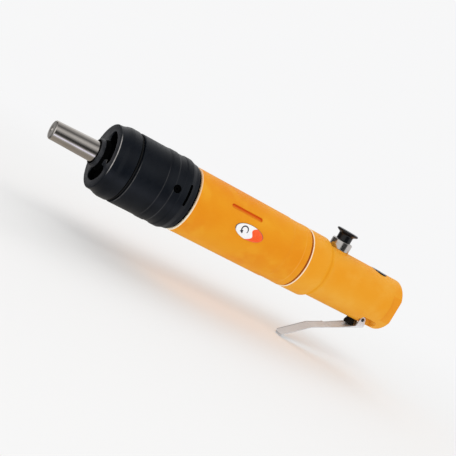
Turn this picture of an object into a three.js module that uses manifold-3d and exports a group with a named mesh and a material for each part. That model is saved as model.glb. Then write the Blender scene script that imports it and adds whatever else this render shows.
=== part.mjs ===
// Straight pneumatic drill/tapper with a tapered chuck spindle, squeeze lever and push-button
// reverse. Drawing frame, in mm: X forward along the spindle, +Z up (reverse button side), +Y left.
// x = 0 is the joint between the black gear case and the yellow motor housing, on the spindle axis.
// The group is shifted so that its origin is the bottom centre of the whole tool's box.
// Roll angles are in degrees about X, from +Y towards +Z.
import * as THREE from 'three';
import { mergeVertices } from 'three/addons/utils/BufferGeometryUtils.js';
import Module from 'manifold-3d';

const wasm = await Module();
wasm.setup();

// ---------------------------------------------------------------- driving dimensions
const TIP_X = 103.7; // spindle end
const TAIL_X = -196.3; // end of the inlet bushing
const ORIGIN_X = (TIP_X + TAIL_X) / 2; // the group's origin in the drawing frame
const ORIGIN_Z = -57.424;

const HOUSING_R = 24.05;
const HOUSING_END = -100.2; // rear end of the motor housing
const CAP_SPLIT = 48.9; // groove with the O-ring between front cap and gear case
const SPLIT_HALF = 1.3; // half the width of that groove

const GRIP_R = 21; // handle under the palm
const COLLAR_R = 23.9; // handle collar
const HANDLE_END = -196; // inlet end of the handle
const VALVE_X = -175.5; // axis of the throttle valve
const BUTTON_X = -132.8; // axis of the reverse button
const LEVER_PIN = [-182, -18.1]; // x, z

// Facets round large, medium and small turned parts.
const LARGE = 28;
const MEDIUM = 16;
const SMALL = 12;

// ---------------------------------------------------------------- points
const rad = (degrees) => (degrees * Math.PI) / 180;
const steps = (count, make) => Array.from({ length: count }, (_, i) => make(i));
const polar = (radius, angle) => [radius * Math.cos(rad(angle)), radius * Math.sin(rad(angle))];
// Point at `radius` along `angle`, then `side` across it.
function polarAside(radius, side, angle) {
  const [cos, sin] = polar(1, angle);
  return [cos * radius - sin * side, sin * radius + cos * side];
}
// Arc of count + 1 points, both ends included.
const arc = (radius, from, to, count, [a, b] = [0, 0]) => steps(count + 1, (i) => {
  const [da, db] = polar(radius, from + ((to - from) * i) / count);
  return [a + da, b + db];
});
const ring = (radius, count, from = 0, centre = [0, 0]) =>
  arc(radius, from, from + 360, count, centre).slice(0, -1);
// The y range of a feature on the left, and its mirror on the right.
const bothSides = (y0, y1) => [[-y1, -y0], [y0, y1]];

// ---------------------------------------------------------------- solids
const Z_TO_X = new THREE.Matrix4().set(0, 0, 1, 0, 1, 0, 0, 0, 0, 1, 0, 0, 0, 0, 0, 1); // xyz to YZX
const Y_TO_X = new THREE.Matrix4().set(0, 1, 0, 0, 0, 0, 1, 0, 1, 0, 0, 0, 0, 0, 0, 1); // xyz to ZXY
const Z_TO_BACK_Y = new THREE.Matrix4().set(1, 0, 0, 0, 0, 0, -1, 0, 0, 1, 0, 0, 0, 0, 0, 1);

// Welds a geometry, drops collapsed triangles and turns it right side out.
function solid(geometry) {
  const loose = geometry.index ? geometry.toNonIndexed() : geometry.clone();
  for (const key of Object.keys(loose.attributes)) {
    if (key !== 'position') loose.deleteAttribute(key);
  }
  const welded = mergeVertices(loose, 1e-4);
  const corners = welded.index.array;
  const kept = [];
  for (let i = 0; i < corners.length; i += 3) {
    const [a, b, c] = [corners[i], corners[i + 1], corners[i + 2]];
    if (a !== b && b !== c && c !== a) kept.push(a, b, c);
  }
  const make = () => new wasm.Manifold(new wasm.Mesh({
    numProp: 3,
    vertProperties: welded.attributes.position.array,
    triVerts: new Uint32Array(kept),
  }));
  const made = make();
  if (made.volume() >= 0) return made;
  for (let i = 0; i < kept.length; i += 3) {
    [kept[i + 1], kept[i + 2]] = [kept[i + 2], kept[i + 1]];
  }
  return make();
}

function geometryOf(body) {
  const { vertProperties, triVerts, numProp } = body.getMesh();
  const positions = new Float32Array((vertProperties.length / numProp) * 3);
  for (let i = 0; i < positions.length / 3; i++) {
    for (let k = 0; k < 3; k++) positions[3 * i + k] = vertProperties[numProp * i + k];
  }
  const geometry = new THREE.BufferGeometry();
  geometry.setAttribute('position', new THREE.BufferAttribute(positions, 3));
  geometry.setIndex([...triVerts]);
  return geometry;
}

const vectors = (points) => points.map(([a, b]) => new THREE.Vector2(a, b));

// Profile of [radius, height], closed on itself unless it starts and ends on the axis.
function lathe(profile, segments) {
  const onAxis = profile[0][0] === 0 && profile.at(-1)[0] === 0;
  return new THREE.LatheGeometry(vectors(onAxis ? profile : [...profile, profile[0]]), segments);
}
// Turned about X: profile of [x, radius].
const turnX = (profile, segments = MEDIUM) =>
  solid(lathe(profile.map(([x, radius]) => [radius, x]), segments).applyMatrix4(Y_TO_X));
// Turned about the vertical line through (x, 0): profile of [radius, z].
const turnZ = (profile, x, segments = SMALL) =>
  solid(lathe(profile, segments).applyMatrix4(Z_TO_X).translate(x, 0, 0));
const tubeX = (x0, x1, inner, outer, segments) =>
  turnX([[x0, inner], [x0, outer], [x1, outer], [x1, inner]], segments);
const rodX = (x0, x1, radius, segments = SMALL, [y, z] = [0, 0]) =>
  turnX([[x0, 0], [x0, radius], [x1, radius], [x1, 0]], segments).translate([0, y, z]);
const tubeZ = (x, z0, z1, inner, outer, segments) =>
  turnZ([[inner, z0], [outer, z0], [outer, z1], [inner, z1]], x, segments);
const rodZ = (x, z0, z1, radius, segments) =>
  turnZ([[0, z0], [radius, z0], [radius, z1], [0, z1]], x, segments);
const rodY = ([x, z], [y0, y1], radius) => solid(
  new THREE.CylinderGeometry(radius, radius, y1 - y0, SMALL).translate(x, (y0 + y1) / 2, z));
const box = ([x0, x1], [y0, y1], [z0, z1]) => solid(
  new THREE.BoxGeometry(x1 - x0, y1 - y0, z1 - z0)
    .translate((x0 + x1) / 2, (y0 + y1) / 2, (z0 + z1) / 2));

function extrude(points, depth, hole) {
  const shape = new THREE.Shape(vectors(points));
  if (hole) shape.holes.push(new THREE.Path(vectors(hole)));
  return new THREE.ExtrudeGeometry(shape, { depth, bevelEnabled: false });
}
// Prisms along X from an outline in (y, z), along Y from (x, z) and along Z from (x, y).
const prismX = (points, x0, x1, hole) =>
  solid(extrude(points, x1 - x0, hole).applyMatrix4(Z_TO_X).translate(x0, 0, 0));
const prismY = (points, [y0, y1]) =>
  solid(extrude(points, y1 - y0).applyMatrix4(Z_TO_BACK_Y).translate(0, y1, 0));
const prismZ = (points, z0, z1) => solid(extrude(points, z1 - z0).translate(0, 0, z0));

const cut = (body, ...tools) => tools.reduce((rest, tool) => rest.subtract(tool), body);
const drillX = (x0, x1, radius, places) =>
  places.map((place) => rodX(x0, x1, radius, SMALL, place));
// Rolls a piece built on the +Z side to a roll angle.
const atRoll = (body, roll) => body.rotate([roll - 90, 0, 0]);

// ---------------------------------------------------------------- group and finishes
const group = new THREE.Group();
const parts = new THREE.Group();
parts.position.set(-ORIGIN_X, 0, -ORIGIN_Z);
group.add(parts);

const FINISH = {
  black: { color: 0x1c2026, roughness: 0.38, metalness: 0.55 },
  yellow: { color: 0xe9a12c, roughness: 0.42, metalness: 0 },
  bright: { color: 0xd9d9d6, roughness: 0.18, metalness: 1 },
  steel: { color: 0x9a9da0, roughness: 0.35, metalness: 1 },
  lever: { color: 0xcfccc8, roughness: 0.32, metalness: 0.9 },
  rubber: { color: 0x111111, roughness: 0.75, metalness: 0 },
  plastic: { color: 0x15171b, roughness: 0.3, metalness: 0.1 },
  brass: { color: 0xb58f45, roughness: 0.35, metalness: 1 },
  vane: { color: 0x6a4a32, roughness: 0.7, metalness: 0 },
  iron: { color: 0x5d6064, roughness: 0.55, metalness: 0.9 },
  badge: { color: 0xd24a20, roughness: 0.4, metalness: 0 },
  gasket: { color: 0x3d3b36, roughness: 0.85, metalness: 0 },
};

function add(name, body, finish) {
  const mesh = new THREE.Mesh(geometryOf(body), new THREE.MeshStandardMaterial(FINISH[finish]));
  mesh.name = name;
  parts.add(mesh);
}

// ---------------------------------------------------------------- gear teeth
const MODULE = 0.9;
const PRESSURE = rad(25);
const BACKLASH = 0.2; // taken off each tooth's width at the pitch line
const RING_BACKLASH = 0.14; // taken off the ring gear's teeth as well
const ROOT_SPREAD = 0.03; // radians added to half a tooth at its root

const pitchRadius = (teeth) => (MODULE * teeth) / 2;
const baseRadius = (teeth) => pitchRadius(teeth) * Math.cos(PRESSURE);
const involute = (angle) => Math.tan(angle) - angle;

// Half a tooth's angle in radians against radius; side is 1 for teeth pointing out, -1 for in.
function halfTooth(teeth, backlash, side) {
  const atPitch = (Math.PI * MODULE / 2 - backlash) / 2 / pitchRadius(teeth);
  return (radius) => atPitch
    + side * (involute(PRESSURE) - involute(Math.acos(baseRadius(teeth) / radius)));
}
// Gear outline from one flank of [radius, half angle], a tooth centred on the roll `phase`.
function gearOutline(teeth, phase, flank) {
  const edge = (i, side) => flank.map(([radius, half]) =>
    polar(radius, phase + (360 * i) / teeth + (side * half * 180) / Math.PI));
  return steps(teeth, (i) => [...edge(i, -1), ...edge(i, 1).reverse()]).flat();
}
function externalGear(teeth, phase) {
  const pitch = pitchRadius(teeth);
  const root = pitch - 1.25 * MODULE;
  const flankStart = Math.max(baseRadius(teeth), root) + 0.02;
  const half = halfTooth(teeth, BACKLASH, 1);
  const rootHalf = Math.min(half(flankStart) + ROOT_SPREAD, Math.PI / teeth - ROOT_SPREAD);
  const flank = [flankStart, pitch, pitch + MODULE].map((radius) => [radius, half(radius)]);
  return gearOutline(teeth, phase, [[root, rootHalf], ...flank]);
}
function internalGear(teeth, phase) {
  const pitch = pitchRadius(teeth);
  const half = halfTooth(teeth, BACKLASH + RING_BACKLASH, -1);
  const radii = [pitch + 1.25 * MODULE, pitch - 0.8 * MODULE];
  return gearOutline(teeth, phase, radii.map((radius) => [radius, half(radius)]));
}

// ---------------------------------------------------------------- ball bearing
function bearing(name, x0, x1, bore, outside, ballCount) {
  const middle = (x0 + x1) / 2;
  const track = (bore + outside) / 2;
  const ball = (outside - bore) * 0.29;
  const race = (radius, side) => {
    const shoulder = track + side * ball * 0.55;
    const groove = track + side * (ball + 0.42);
    return turnX([[x0, radius], [x0, shoulder], [middle, groove], [x1, shoulder], [x1, radius]]);
  };
  add(name + '_outer_ring', race(outside, 1), 'steel');
  add(name + '_inner_ring', race(bore, -1), 'steel');
  let cage = tubeX(middle - ball * 0.8, middle + ball * 0.8,
    track - ball * 0.28, track + ball * 0.28);
  for (const [y, z] of ring(track, ballCount, 7)) {
    cage = cage.add(solid(new THREE.SphereGeometry(ball, 6, 4).translate(middle, y, z)));
  }
  add(name + '_ball_cage', cage, 'brass');
}

// ---------------------------------------------------------------- spindle and reduction stage
const SUN_TEETH = 12;
const PLANET_TEETH = 15;
const RING_TEETH = 42;
const GEAR_REAR = 20;
const GEAR_FRONT = 32.6;
const CARRIER_R = 17.2;
const PIN_R = 2.5; // planet pin
const PIN_HOLE_R = 2.6;
const FIRST_ROLL = 90; // roll of the first planet
const PLANET_CENTRES = ring(pitchRadius(SUN_TEETH + PLANET_TEETH), 3, FIRST_ROLL);

// x, radius; from the planet carrier flange to the tapered tip with its centre hole
const SPINDLE_PROFILE = [
  [33.5, 0], [33.5, CARRIER_R], [37.6, CARRIER_R], [37.6, 10.1], [38.5, 10.1], [38.5, 8.45],
  [45.7, 8.45], [45.7, 9.6], [50.9, 9.6], [50.9, 7.45],
  [58.15, 7.45], [58.15, 6.9], [59.35, 6.9], [59.35, 7.45], // circlip groove
  [72.5, 7.53], [103.1, 6.66], [TIP_X, 6.1],
  [TIP_X, 1.6], [102.4, 1], [99.2, 1], [98.6, 0],
];
add('spindle', cut(turnX(SPINDLE_PROFILE), ...drillX(33, 38, PIN_HOLE_R, PLANET_CENTRES)),
  'bright');
add('carrier_plate', cut(tubeX(16.2, 18.9, 7.4, CARRIER_R),
  ...drillX(16, 19, PIN_HOLE_R, PLANET_CENTRES)), 'steel');

PLANET_CENTRES.forEach(([y, z], i) => {
  add('planet_pin_' + (i + 1), rodX(16.3, 37.4, PIN_R, SMALL, [y, z]), 'steel');
  // A planet tooth points at the sun; the space opposite takes a ring tooth.
  const outline = externalGear(PLANET_TEETH, FIRST_ROLL + 120 * i + 180);
  const gear = prismX(outline, GEAR_REAR, GEAR_FRONT, ring(PIN_R + 0.15, SMALL));
  add('planet_gear_' + (i + 1), gear.translate([0, y, z]), 'steel');
});
add('ring_gear', prismX(ring(22.35, LARGE), 16.4, 33.1, internalGear(RING_TEETH, FIRST_ROLL)),
  'iron');
add('sun_pinion', prismX(externalGear(SUN_TEETH, FIRST_ROLL + 180 / SUN_TEETH),
  GEAR_REAR - 0.6, GEAR_FRONT, ring(3.1, MEDIUM)), 'steel');

bearing('spindle_rear_bearing', 38.7, 45.5, 8.55, 15.4, 6);
bearing('nose_bearing', 51.1, 58, 7.55, 13.85, 6);
// The circlip's gap is at the bottom.
add('spindle_circlip', cut(tubeX(58.3, 59.2, 7.05, 9), box([58, 60], [-1.4, 1.4], [-10, -6])),
  'steel');
add('nose_seal', turnX([[59.5, 7.75], [59.5, 13.7], [61.1, 13.7], [61.1, 12.2], [60.3, 11.2],
  [60.3, 9.2], [61.1, 7.75]]), 'rubber');

// ---------------------------------------------------------------- front cap
const WEB_ROLLS = [-15, 105, 225]; // the three face webs between the exhaust ports
const WEB_WIDTH = 15; // degrees
const PORT_INNER = 11.9;
const PORT_OUTER = 20.9;

// x, radius
const CAP_PROFILE = [
  [36.4, 21.45], [36.4, 23.75], [CAP_SPLIT + SPLIT_HALF, 23.75], [CAP_SPLIT + SPLIT_HALF, 25.3],
  [CAP_SPLIT + 1.6, 25.6], [56.4, 25.65], [60.4, 24.25], [62.2, 23.8], [64.4, 23.55],
  [65.9, 22.7], [66.9, 11.5], [69.7, 11.5], [70.2, 11],
  [70.2, 8.1], [61.3, 8.1], [61.3, 14.1], [48.2, 14.1], [48.2, 16.6], [62.2, 16.6], [62.2, 21.45],
];
// Kidney port from one web to the next, its ends rounded.
function exhaustPort(web) {
  const middle = (PORT_INNER + PORT_OUTER) / 2;
  const half = (PORT_OUTER - PORT_INNER) / 2;
  const inset = (half / middle) * (180 / Math.PI) * 0.92;
  const start = web + WEB_WIDTH / 2 + inset;
  const end = web + 120 - WEB_WIDTH / 2 - inset;
  return prismX([
    ...arc(PORT_OUTER, start, end, 6),
    ...arc(half, end + 22.5, end + 157.5, 3, polar(middle, end)),
    ...arc(PORT_INNER, end, start, 4),
    ...arc(half, start - 157.5, start - 22.5, 3, polar(middle, start)),
  ], 61.8, 72);
}
add('front_cap', cut(turnX(CAP_PROFILE, LARGE), ...WEB_ROLLS.map(exhaustPort)), 'black');

// x from the groove centre, radius
const CAP_O_RING = [[-0.7, 23.95], [-0.6, 24.45], [0, 24.7], [0.6, 24.45], [0.7, 23.95]];
add('cap_o_ring', turnX(CAP_O_RING.map(([x, radius]) => [CAP_SPLIT + x, radius]), LARGE),
  'rubber');
add('bearing_plate', cut(
  turnX([[38, 15.55], [38, 21.15], [47.9, 21.15], [47.9, 11.6], [45.8, 11.6], [45.8, 15.55]]),
  ...drillX(37, 49, 2.2, ring(18.45, 6, 30))), 'iron');

// ---------------------------------------------------------------- gear case
const SCREW_X = 16.9;
const SCREW_ROLL = 14;

// x, radius
const CASE_PROFILE = [
  [-2.6, 7], [-2.6, 20.4], [0.45, 20.4], [0.45, 23.2], [1.7, 23.35], [2.1, 24.4], [5, 24.8],
  [8.5, 26.1], [13, 26.1], [13.8, 25.6], [19, 25.6], [20, 26], [25, 26], [27, 25.6],
  [CAP_SPLIT - 1.7, 25.6], [CAP_SPLIT - SPLIT_HALF, 25.2], [CAP_SPLIT - SPLIT_HALF, 23.95],
  [36, 23.95], [36, 22.6], [4, 22.6], [4, 7],
];
add('gear_case', cut(turnX(CASE_PROFILE, LARGE),
  atRoll(rodZ(SCREW_X, 20, 28, 2.4, MEDIUM), SCREW_ROLL),
  ...drillX(-3, 5, 2, ring(13.6, 4, 45))), 'black');
add('ring_lock_screw', atRoll(turnZ([[0, 22.7], [2.1, 22.7], [2.1, 24.6], [1, 24.6], [1, 23.6],
  [0, 23.6]], SCREW_X, MEDIUM), SCREW_ROLL), 'steel');

// ---------------------------------------------------------------- vane motor
const MOTOR_REAR = -76;
const MOTOR_FRONT = -12;
const PLATES_FRONT = -2.8; // front face of the front end plate
const LINER_OUTER = 20.5;
const LINER_BORE = 16.55;
const LINER_RISE = 2.5; // bore centre above the rotor axis
const ROTOR_R = 13.8;
const SLOT_FLOOR = 6.9; // radius at the bottom of a rotor slot
const SLOT_HALF = 1.05;
const VANE_HALF = 0.95;
const VANE_ROLLS = steps(5, (i) => 90 + 72 * i);
const SHAFT_HOLE_R = 5.1; // in the end plates
const BEARING_SEAT_R = 9.6;
const DOWEL_PLACE = [0, -18.6];

// Dowel hole through both end plates and the liner.
const dowelHole = () => rodX(MOTOR_REAR - 5, MOTOR_FRONT + 5, 1.3, SMALL, DOWEL_PLACE);

function frontEndPlate() {
  const blank = turnX([
    [MOTOR_FRONT + 0.1, SHAFT_HOLE_R], [MOTOR_FRONT + 0.1, LINER_OUTER],
    [PLATES_FRONT, LINER_OUTER], [PLATES_FRONT, BEARING_SEAT_R],
    [-9.9, BEARING_SEAT_R], [-9.9, SHAFT_HOLE_R],
  ]);
  return cut(blank, dowelHole());
}
function rearEndPlate() {
  const blank = turnX([
    [MOTOR_REAR - 9, BEARING_SEAT_R], [MOTOR_REAR - 9, LINER_OUTER],
    [MOTOR_REAR - 0.1, LINER_OUTER], [MOTOR_REAR - 0.1, SHAFT_HOLE_R],
    [MOTOR_REAR - 2, SHAFT_HOLE_R], [MOTOR_REAR - 2, BEARING_SEAT_R],
  ]);
  const holes = [20, 160].map((roll) => polar(15.6, roll));
  return cut(blank, dowelHole(), ...drillX(MOTOR_REAR - 10, MOTOR_REAR + 1, 1.8, holes));
}
function cylinderLiner() {
  const blank = prismX(ring(LINER_OUTER, LARGE), MOTOR_REAR + 0.05, MOTOR_FRONT - 0.05,
    ring(LINER_BORE, LARGE, 0, [0, LINER_RISE]));
  const windows = [-58, -46, -34].map((x) => box([x, x + 7], [-3, 3], [10, 22]));
  return cut(blank, dowelHole(), ...windows);
}
function rotor() {
  const mouth = (Math.asin(SLOT_HALF / ROTOR_R) * 180) / Math.PI; // half angle of a slot
  const outline = VANE_ROLLS.flatMap((roll) => [
    polarAside(SLOT_FLOOR, -SLOT_HALF, roll),
    polarAside(SLOT_FLOOR, SLOT_HALF, roll),
    ...arc(ROTOR_R, roll + mouth, roll + 72 - mouth, 6),
  ]);
  const shaft = turnX([
    [MOTOR_REAR - 8.6, 0], [MOTOR_REAR - 8.6, 4.3], [MOTOR_REAR - 8.2, 4.7],
    [-3.2, 4.7], [-3.2, 3], [33, 3], [33, 0],
  ]);
  return prismX(outline, MOTOR_REAR + 0.25, MOTOR_FRONT - 0.25).add(shaft);
}
function vane(roll) {
  // radius, sideways
  const section = [[7.1, -VANE_HALF], [13.5, -VANE_HALF], [13.72, 0], [13.5, VANE_HALF],
    [7.1, VANE_HALF]];
  return prismX(section.map(([radius, side]) => polarAside(radius, side, roll)),
    MOTOR_REAR + 0.45, MOTOR_FRONT - 0.45);
}
add('front_end_plate', frontEndPlate(), 'iron');
add('rear_end_plate', rearEndPlate(), 'iron');
add('cylinder_liner', cylinderLiner(), 'steel');
add('cylinder_dowel', rodX(MOTOR_REAR - 4.8, MOTOR_FRONT + 4.8, 1.2, SMALL, DOWEL_PLACE), 'steel');
add('rotor', rotor(), 'steel');
VANE_ROLLS.forEach((roll, i) => add('vane_' + (i + 1), vane(roll), 'vane'));
bearing('rotor_front_bearing', -9.7, -3.4, 4.8, 9.5, 5);
bearing('rotor_rear_bearing', MOTOR_REAR - 8.4, MOTOR_REAR - 2.2, 4.8, 9.5, 5);

// ---------------------------------------------------------------- motor housing, badge, gasket
// x, radius
const HOUSING_PROFILE = [
  [-0.1, 20.7], [-0.1, 23.5], [-0.7, HOUSING_R], [-82, HOUSING_R], [-84, 23.7], [-94.3, 23.7],
  [-94.9, 23.9], [-99.8, 23.9], [HOUSING_END, 23.5], [HOUSING_END, 21.3],
  [-85.7, 21.3], [-85.7, 20.7],
];
// Blind slot with round ends, in the left upper side.
const SLOT = { front: -27.6, rear: -53.4, half: 1.1, floor: 22.4, depth: 4, roll: 35.5 };
const BADGE = { x: -48, halfLength: 12.6, halfWidth: 6.3, roll: 5.5 };

function motorHousing() {
  const outline = [
    ...arc(SLOT.half, 90, -90, 6, [SLOT.front - SLOT.half, 0]),
    ...arc(SLOT.half, 270, 90, 6, [SLOT.rear + SLOT.half, 0]),
  ];
  const slot = prismZ(outline, SLOT.floor, SLOT.floor + SLOT.depth);
  return cut(turnX(HOUSING_PROFILE, LARGE), atRoll(slot, SLOT.roll));
}
// Oval piece of a thin shell round the housing.
function badgePlate() {
  const oval = ring(1, 32).map(([x, y]) => [BADGE.x + x * BADGE.halfLength, y * BADGE.halfWidth]);
  const shell = tubeX(-62, -34, HOUSING_R + 0.12, HOUSING_R + 0.55, LARGE);
  return atRoll(prismZ(oval, 20, 26), BADGE.roll).intersect(shell);
}
add('motor_housing', motorHousing(), 'yellow');
add('badge_plate', badgePlate(), 'badge');
add('motor_gasket', tubeX(-85.9, -85.15, 11.5, 20.3), 'gasket');

// ---------------------------------------------------------------- handle
const VALVE_FIT = 0.25; // radial clearance of spool, bush and throttle plug
const SPOOL_R = 5.75;
const SPOOL_BORE = SPOOL_R + VALVE_FIT;
const BUSH_SHANK_R = 7.45;
const PLUG_R = 6.9; // throttle plug
const SPOT_Z = 19.6; // spot face under the reverse bush
const FLAT_Y = 18; // spanner flats at the inlet end
const FLAT_FRONT = -186.8;
const BEYOND = 30; // outside the handle on every side
const RECESS = { front: -176.2, rear: -187, top: -14, y: 4.75, endZ: -18, endR: 3 };

// x, radius; the outside before boring, with the O-ring groove near the front
const HANDLE_PROFILE = [
  [-86.1, 0], [-86.1, 20.9], [-87, 20.9], [-87, 19.4], [-89.2, 19.4], [-89.2, 20.9],
  [-101.7, 20.9], [-101.7, 23.4], [-102.2, COLLAR_R], [-121.6, COLLAR_R],
  [-125.6, 21.5], [-127.6, GRIP_R], [HANDLE_END + 1.4, GRIP_R], [HANDLE_END + 0.4, 20.6],
  [HANDLE_END, 19.8], [HANDLE_END, 0],
];
// Lever recess beside the lug, with a round rear end.
function leverRecess(sideY) {
  const { front, rear, top, endZ, endR } = RECESS;
  return [
    box([rear, front], sideY, [-BEYOND, top]),
    rodY([rear, endZ], sideY, endR).add(box([rear - endR, rear], sideY, [-BEYOND, endZ])),
  ];
}
function handle() {
  const flats = bothSides(FLAT_Y, BEYOND)
    .map((sideY) => box([HANDLE_END - 5, FLAT_FRONT], sideY, [-BEYOND, BEYOND]));
  return cut(turnX(HANDLE_PROFILE, LARGE),
    ...flats,
    rodX(-112, -80, 13, MEDIUM), // front chamber
    rodX(-210, -186, 9.8, MEDIUM), // inlet
    rodX(-187, -182.8, 8.2, MEDIUM),
    rodX(-186, VALVE_X, 3.6, SMALL, [0, 3]), // inlet to the throttle chamber
    rodX(VALVE_X, BUTTON_X, 2.5, SMALL, [0, -8.4]), // throttle to the reverse valve
    rodX(BUTTON_X, -110, 2.3, SMALL, [0, 4.8]), // forward and reverse ports
    rodX(BUTTON_X, -110, 2.3, SMALL, [0, -3.5]),
    // Reverse valve: spool bore, bush seat and spot face.
    rodZ(BUTTON_X, -16.6, 30, SPOOL_BORE, MEDIUM),
    rodZ(BUTTON_X, 8, 30, BUSH_SHANK_R + VALVE_FIT, MEDIUM),
    rodZ(BUTTON_X, SPOT_Z, 40, 8.6, MEDIUM),
    // Throttle: plug bore, chamber, bore under the seat, stem guide and plunger pocket.
    rodZ(VALVE_X, 12.2, 30, PLUG_R + VALVE_FIT, MEDIUM),
    rodZ(VALVE_X, -6, 20, 5.3, MEDIUM),
    rodZ(VALVE_X, -11.3, 0, 3),
    rodZ(VALVE_X, -30, -10, 3.6),
    rodZ(VALVE_X, -30, -15.8, 4.45),
    ...bothSides(RECESS.y, BEYOND).flatMap(leverRecess),
    rodY(LEVER_PIN, [-10, 10], 1.4));
}
add('handle', handle(), 'yellow');
add('handle_o_ring', turnX([[-88.9, 19.6], [-88.9, 20.7], [-88.1, 21.05], [-87.3, 20.7],
  [-87.3, 19.6]], LARGE), 'rubber');
add('inlet_bushing', turnX([[TAIL_X, 6.4], [TAIL_X, 9.3], [HANDLE_END, 9.6], [-186.3, 9.6],
  [-186.3, 6.4]]), 'steel');
const SCREEN_HOLES = [[0, 0], ...ring(4.6, 4)];
add('inlet_screen', cut(rodX(-185.7, -184.7, 8, MEDIUM),
  ...SCREEN_HOLES.map((place) => rodX(-187, -183, 1.6, 6, place))), 'brass');

// ---------------------------------------------------------------- coil springs
// Coil about a vertical axis at x, of square wire with half diagonal `wire`.
function spring(name, { x, z0, z1, radius, wire, turns }) {
  class Helix extends THREE.Curve {
    getPoint(t, target = new THREE.Vector3()) {
      const angle = 2 * Math.PI * turns * t;
      return target.set(x + radius * Math.cos(angle), radius * Math.sin(angle),
        z0 + wire + (z1 - z0 - 2 * wire) * t);
    }
  }
  const section = new THREE.Shape(vectors(ring(wire, 4)));
  const coil = new THREE.ExtrudeGeometry(section,
    { steps: Math.round(turns * 9), bevelEnabled: false, extrudePath: new Helix() });
  add(name, solid(coil), 'steel');
}

// ---------------------------------------------------------------- reverse valve
const BUSH_R = 8.2;
const BUSH_TOP = SPOT_Z + 7.5;
const BUTTON_TOP = 36.2;

// radius, z
const BUSH_PROFILE = [
  [SPOOL_BORE, 8.2], [BUSH_SHANK_R, 8.2], [BUSH_SHANK_R, SPOT_Z + 0.1], [BUSH_R, SPOT_Z + 0.1],
  [BUSH_R, BUSH_TOP - 0.8], [BUSH_R - 0.8, BUSH_TOP], [SPOOL_BORE, BUSH_TOP],
];
const BUTTON_PROFILE = [
  [0, -9], [2.3, -9], [2.3, -7.2], [SPOOL_R, -7.2], [SPOOL_R, -2.6], [3.6, -2.2], [3.6, 1.6],
  [SPOOL_R, 2], [SPOOL_R, 33.8], [8.7, 35], [8.4, 35.7], [0, BUTTON_TOP],
];
add('reverse_bush', turnZ(BUSH_PROFILE, BUTTON_X, MEDIUM), 'bright');
add('reverse_button', turnZ(BUTTON_PROFILE, BUTTON_X, MEDIUM), 'plastic');
spring('reverse_spring', { x: BUTTON_X, z0: -16.2, z1: -7.5, radius: 3.3, wire: 0.45, turns: 4 });

// ---------------------------------------------------------------- throttle valve
// radius, z
const PLUG_PROFILE = [
  [0, 12.5], [PLUG_R, 12.5], [PLUG_R, 20.6], [PLUG_R - 0.35, 20.95], [2, 20.95], [2, 19], [0, 19],
];
const VALVE_PROFILE = [
  [0, -18.9], [1.45, -18.9], [1.45, -4.3], [2.3, -3.9], [4, -2.6], [4, -1.3], [2.2, -1.3],
  [2.2, 3.2], [0, 3.2],
];
const PLUNGER_PROFILE = [
  [0, -26.4], [1.6, -25.75], [3.2, -25], [4.1, -24.3], [4.1, -23.6], [3.3, -20.4],
  [3.3, -19.2], [0, -19.2],
];
add('throttle_plug', turnZ(PLUG_PROFILE, VALVE_X, MEDIUM), 'black');
spring('throttle_spring', { x: VALVE_X, z0: -1, z1: 12.2, radius: 3.2, wire: 0.45, turns: 5 });
add('throttle_valve', turnZ(VALVE_PROFILE, VALVE_X), 'steel');
add('valve_seat', tubeZ(VALVE_X, -5.8, -4, 2.6, 5.1, MEDIUM), 'brass');
add('valve_guide', tubeZ(VALVE_X, -15.6, -11.5, 1.65, 3.4), 'brass');
add('lever_plunger', turnZ(PLUNGER_PROFILE, VALVE_X), 'rubber');

// ---------------------------------------------------------------- lever
const LEVER_HALF = 6.2; // half of the outside width
const PLATE_T = 1.25; // sheet thickness of the strip
const WALL_T = 1.2; // side walls round the pin
// x, z of the under face
const HEEL = [-186.4, -23.4];
const BEND = [-145.6, -41.25];
const ROUND_START = [-129.5, -53.64]; // where the round free end starts

function direction([x0, z0], [x1, z1]) {
  const length = Math.hypot(x1 - x0, z1 - z0);
  return [(x1 - x0) / length, (z1 - z0) / length];
}
const upFrom = ([dx, dz]) => [-dz, dx];
const shift = ([x, z], [dx, dz], distance) => [x + dx * distance, z + dz * distance];
const END = shift(ROUND_START, direction(BEND, ROUND_START), LEVER_HALF);

// Bent strip of even thickness, mitred at the bend.
function leverStrip() {
  const heelUp = upFrom(direction(HEEL, BEND));
  const endUp = upFrom(direction(BEND, ROUND_START));
  const mitre = [(heelUp[0] + endUp[0]) / 2, (heelUp[1] + endUp[1]) / 2];
  return prismY([
    HEEL, BEND, END,
    shift(END, endUp, PLATE_T),
    shift(BEND, mitre, PLATE_T / Math.hypot(...mitre) ** 2),
    shift(HEEL, heelUp, PLATE_T),
  ], [-LEVER_HALF, LEVER_HALF]);
}
// Upright prism that rounds the free end in plan.
function leverPlan() {
  const roundEnd = steps(11, (i) => [
    ROUND_START[0] + (END[0] - ROUND_START[0]) * Math.sin(rad(18 * i)),
    -LEVER_HALF * Math.cos(rad(18 * i)),
  ]);
  return prismZ([[-200, -LEVER_HALF], ...roundEnd, [-200, LEVER_HALF]], -65, -5);
}
function leverWall(sideY) {
  const frontX = -158;
  const slope = (BEND[1] - HEEL[1]) / (BEND[0] - HEEL[0]);
  return prismY([
    HEEL, [frontX, HEEL[1] + slope * (frontX - HEEL[0])],
    [-159.4, -34.4], [-179, -24.7], [-179.5, -19.4],
    ...arc(2.5, 47, 179, 6, LEVER_PIN),
    [-185.2, -19.3],
  ], sideY);
}
function lever() {
  const body = bothSides(LEVER_HALF - WALL_T, LEVER_HALF).map(leverWall)
    .reduce((joined, wall) => joined.add(wall), leverStrip().intersect(leverPlan()));
  return cut(body, rodY(LEVER_PIN, [-10, 10], 1.5));
}
add('lever', lever(), 'lever');
add('lever_pin', rodY(LEVER_PIN, [-6.7, 6.7], 1.3), 'steel');

export default group;
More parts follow.
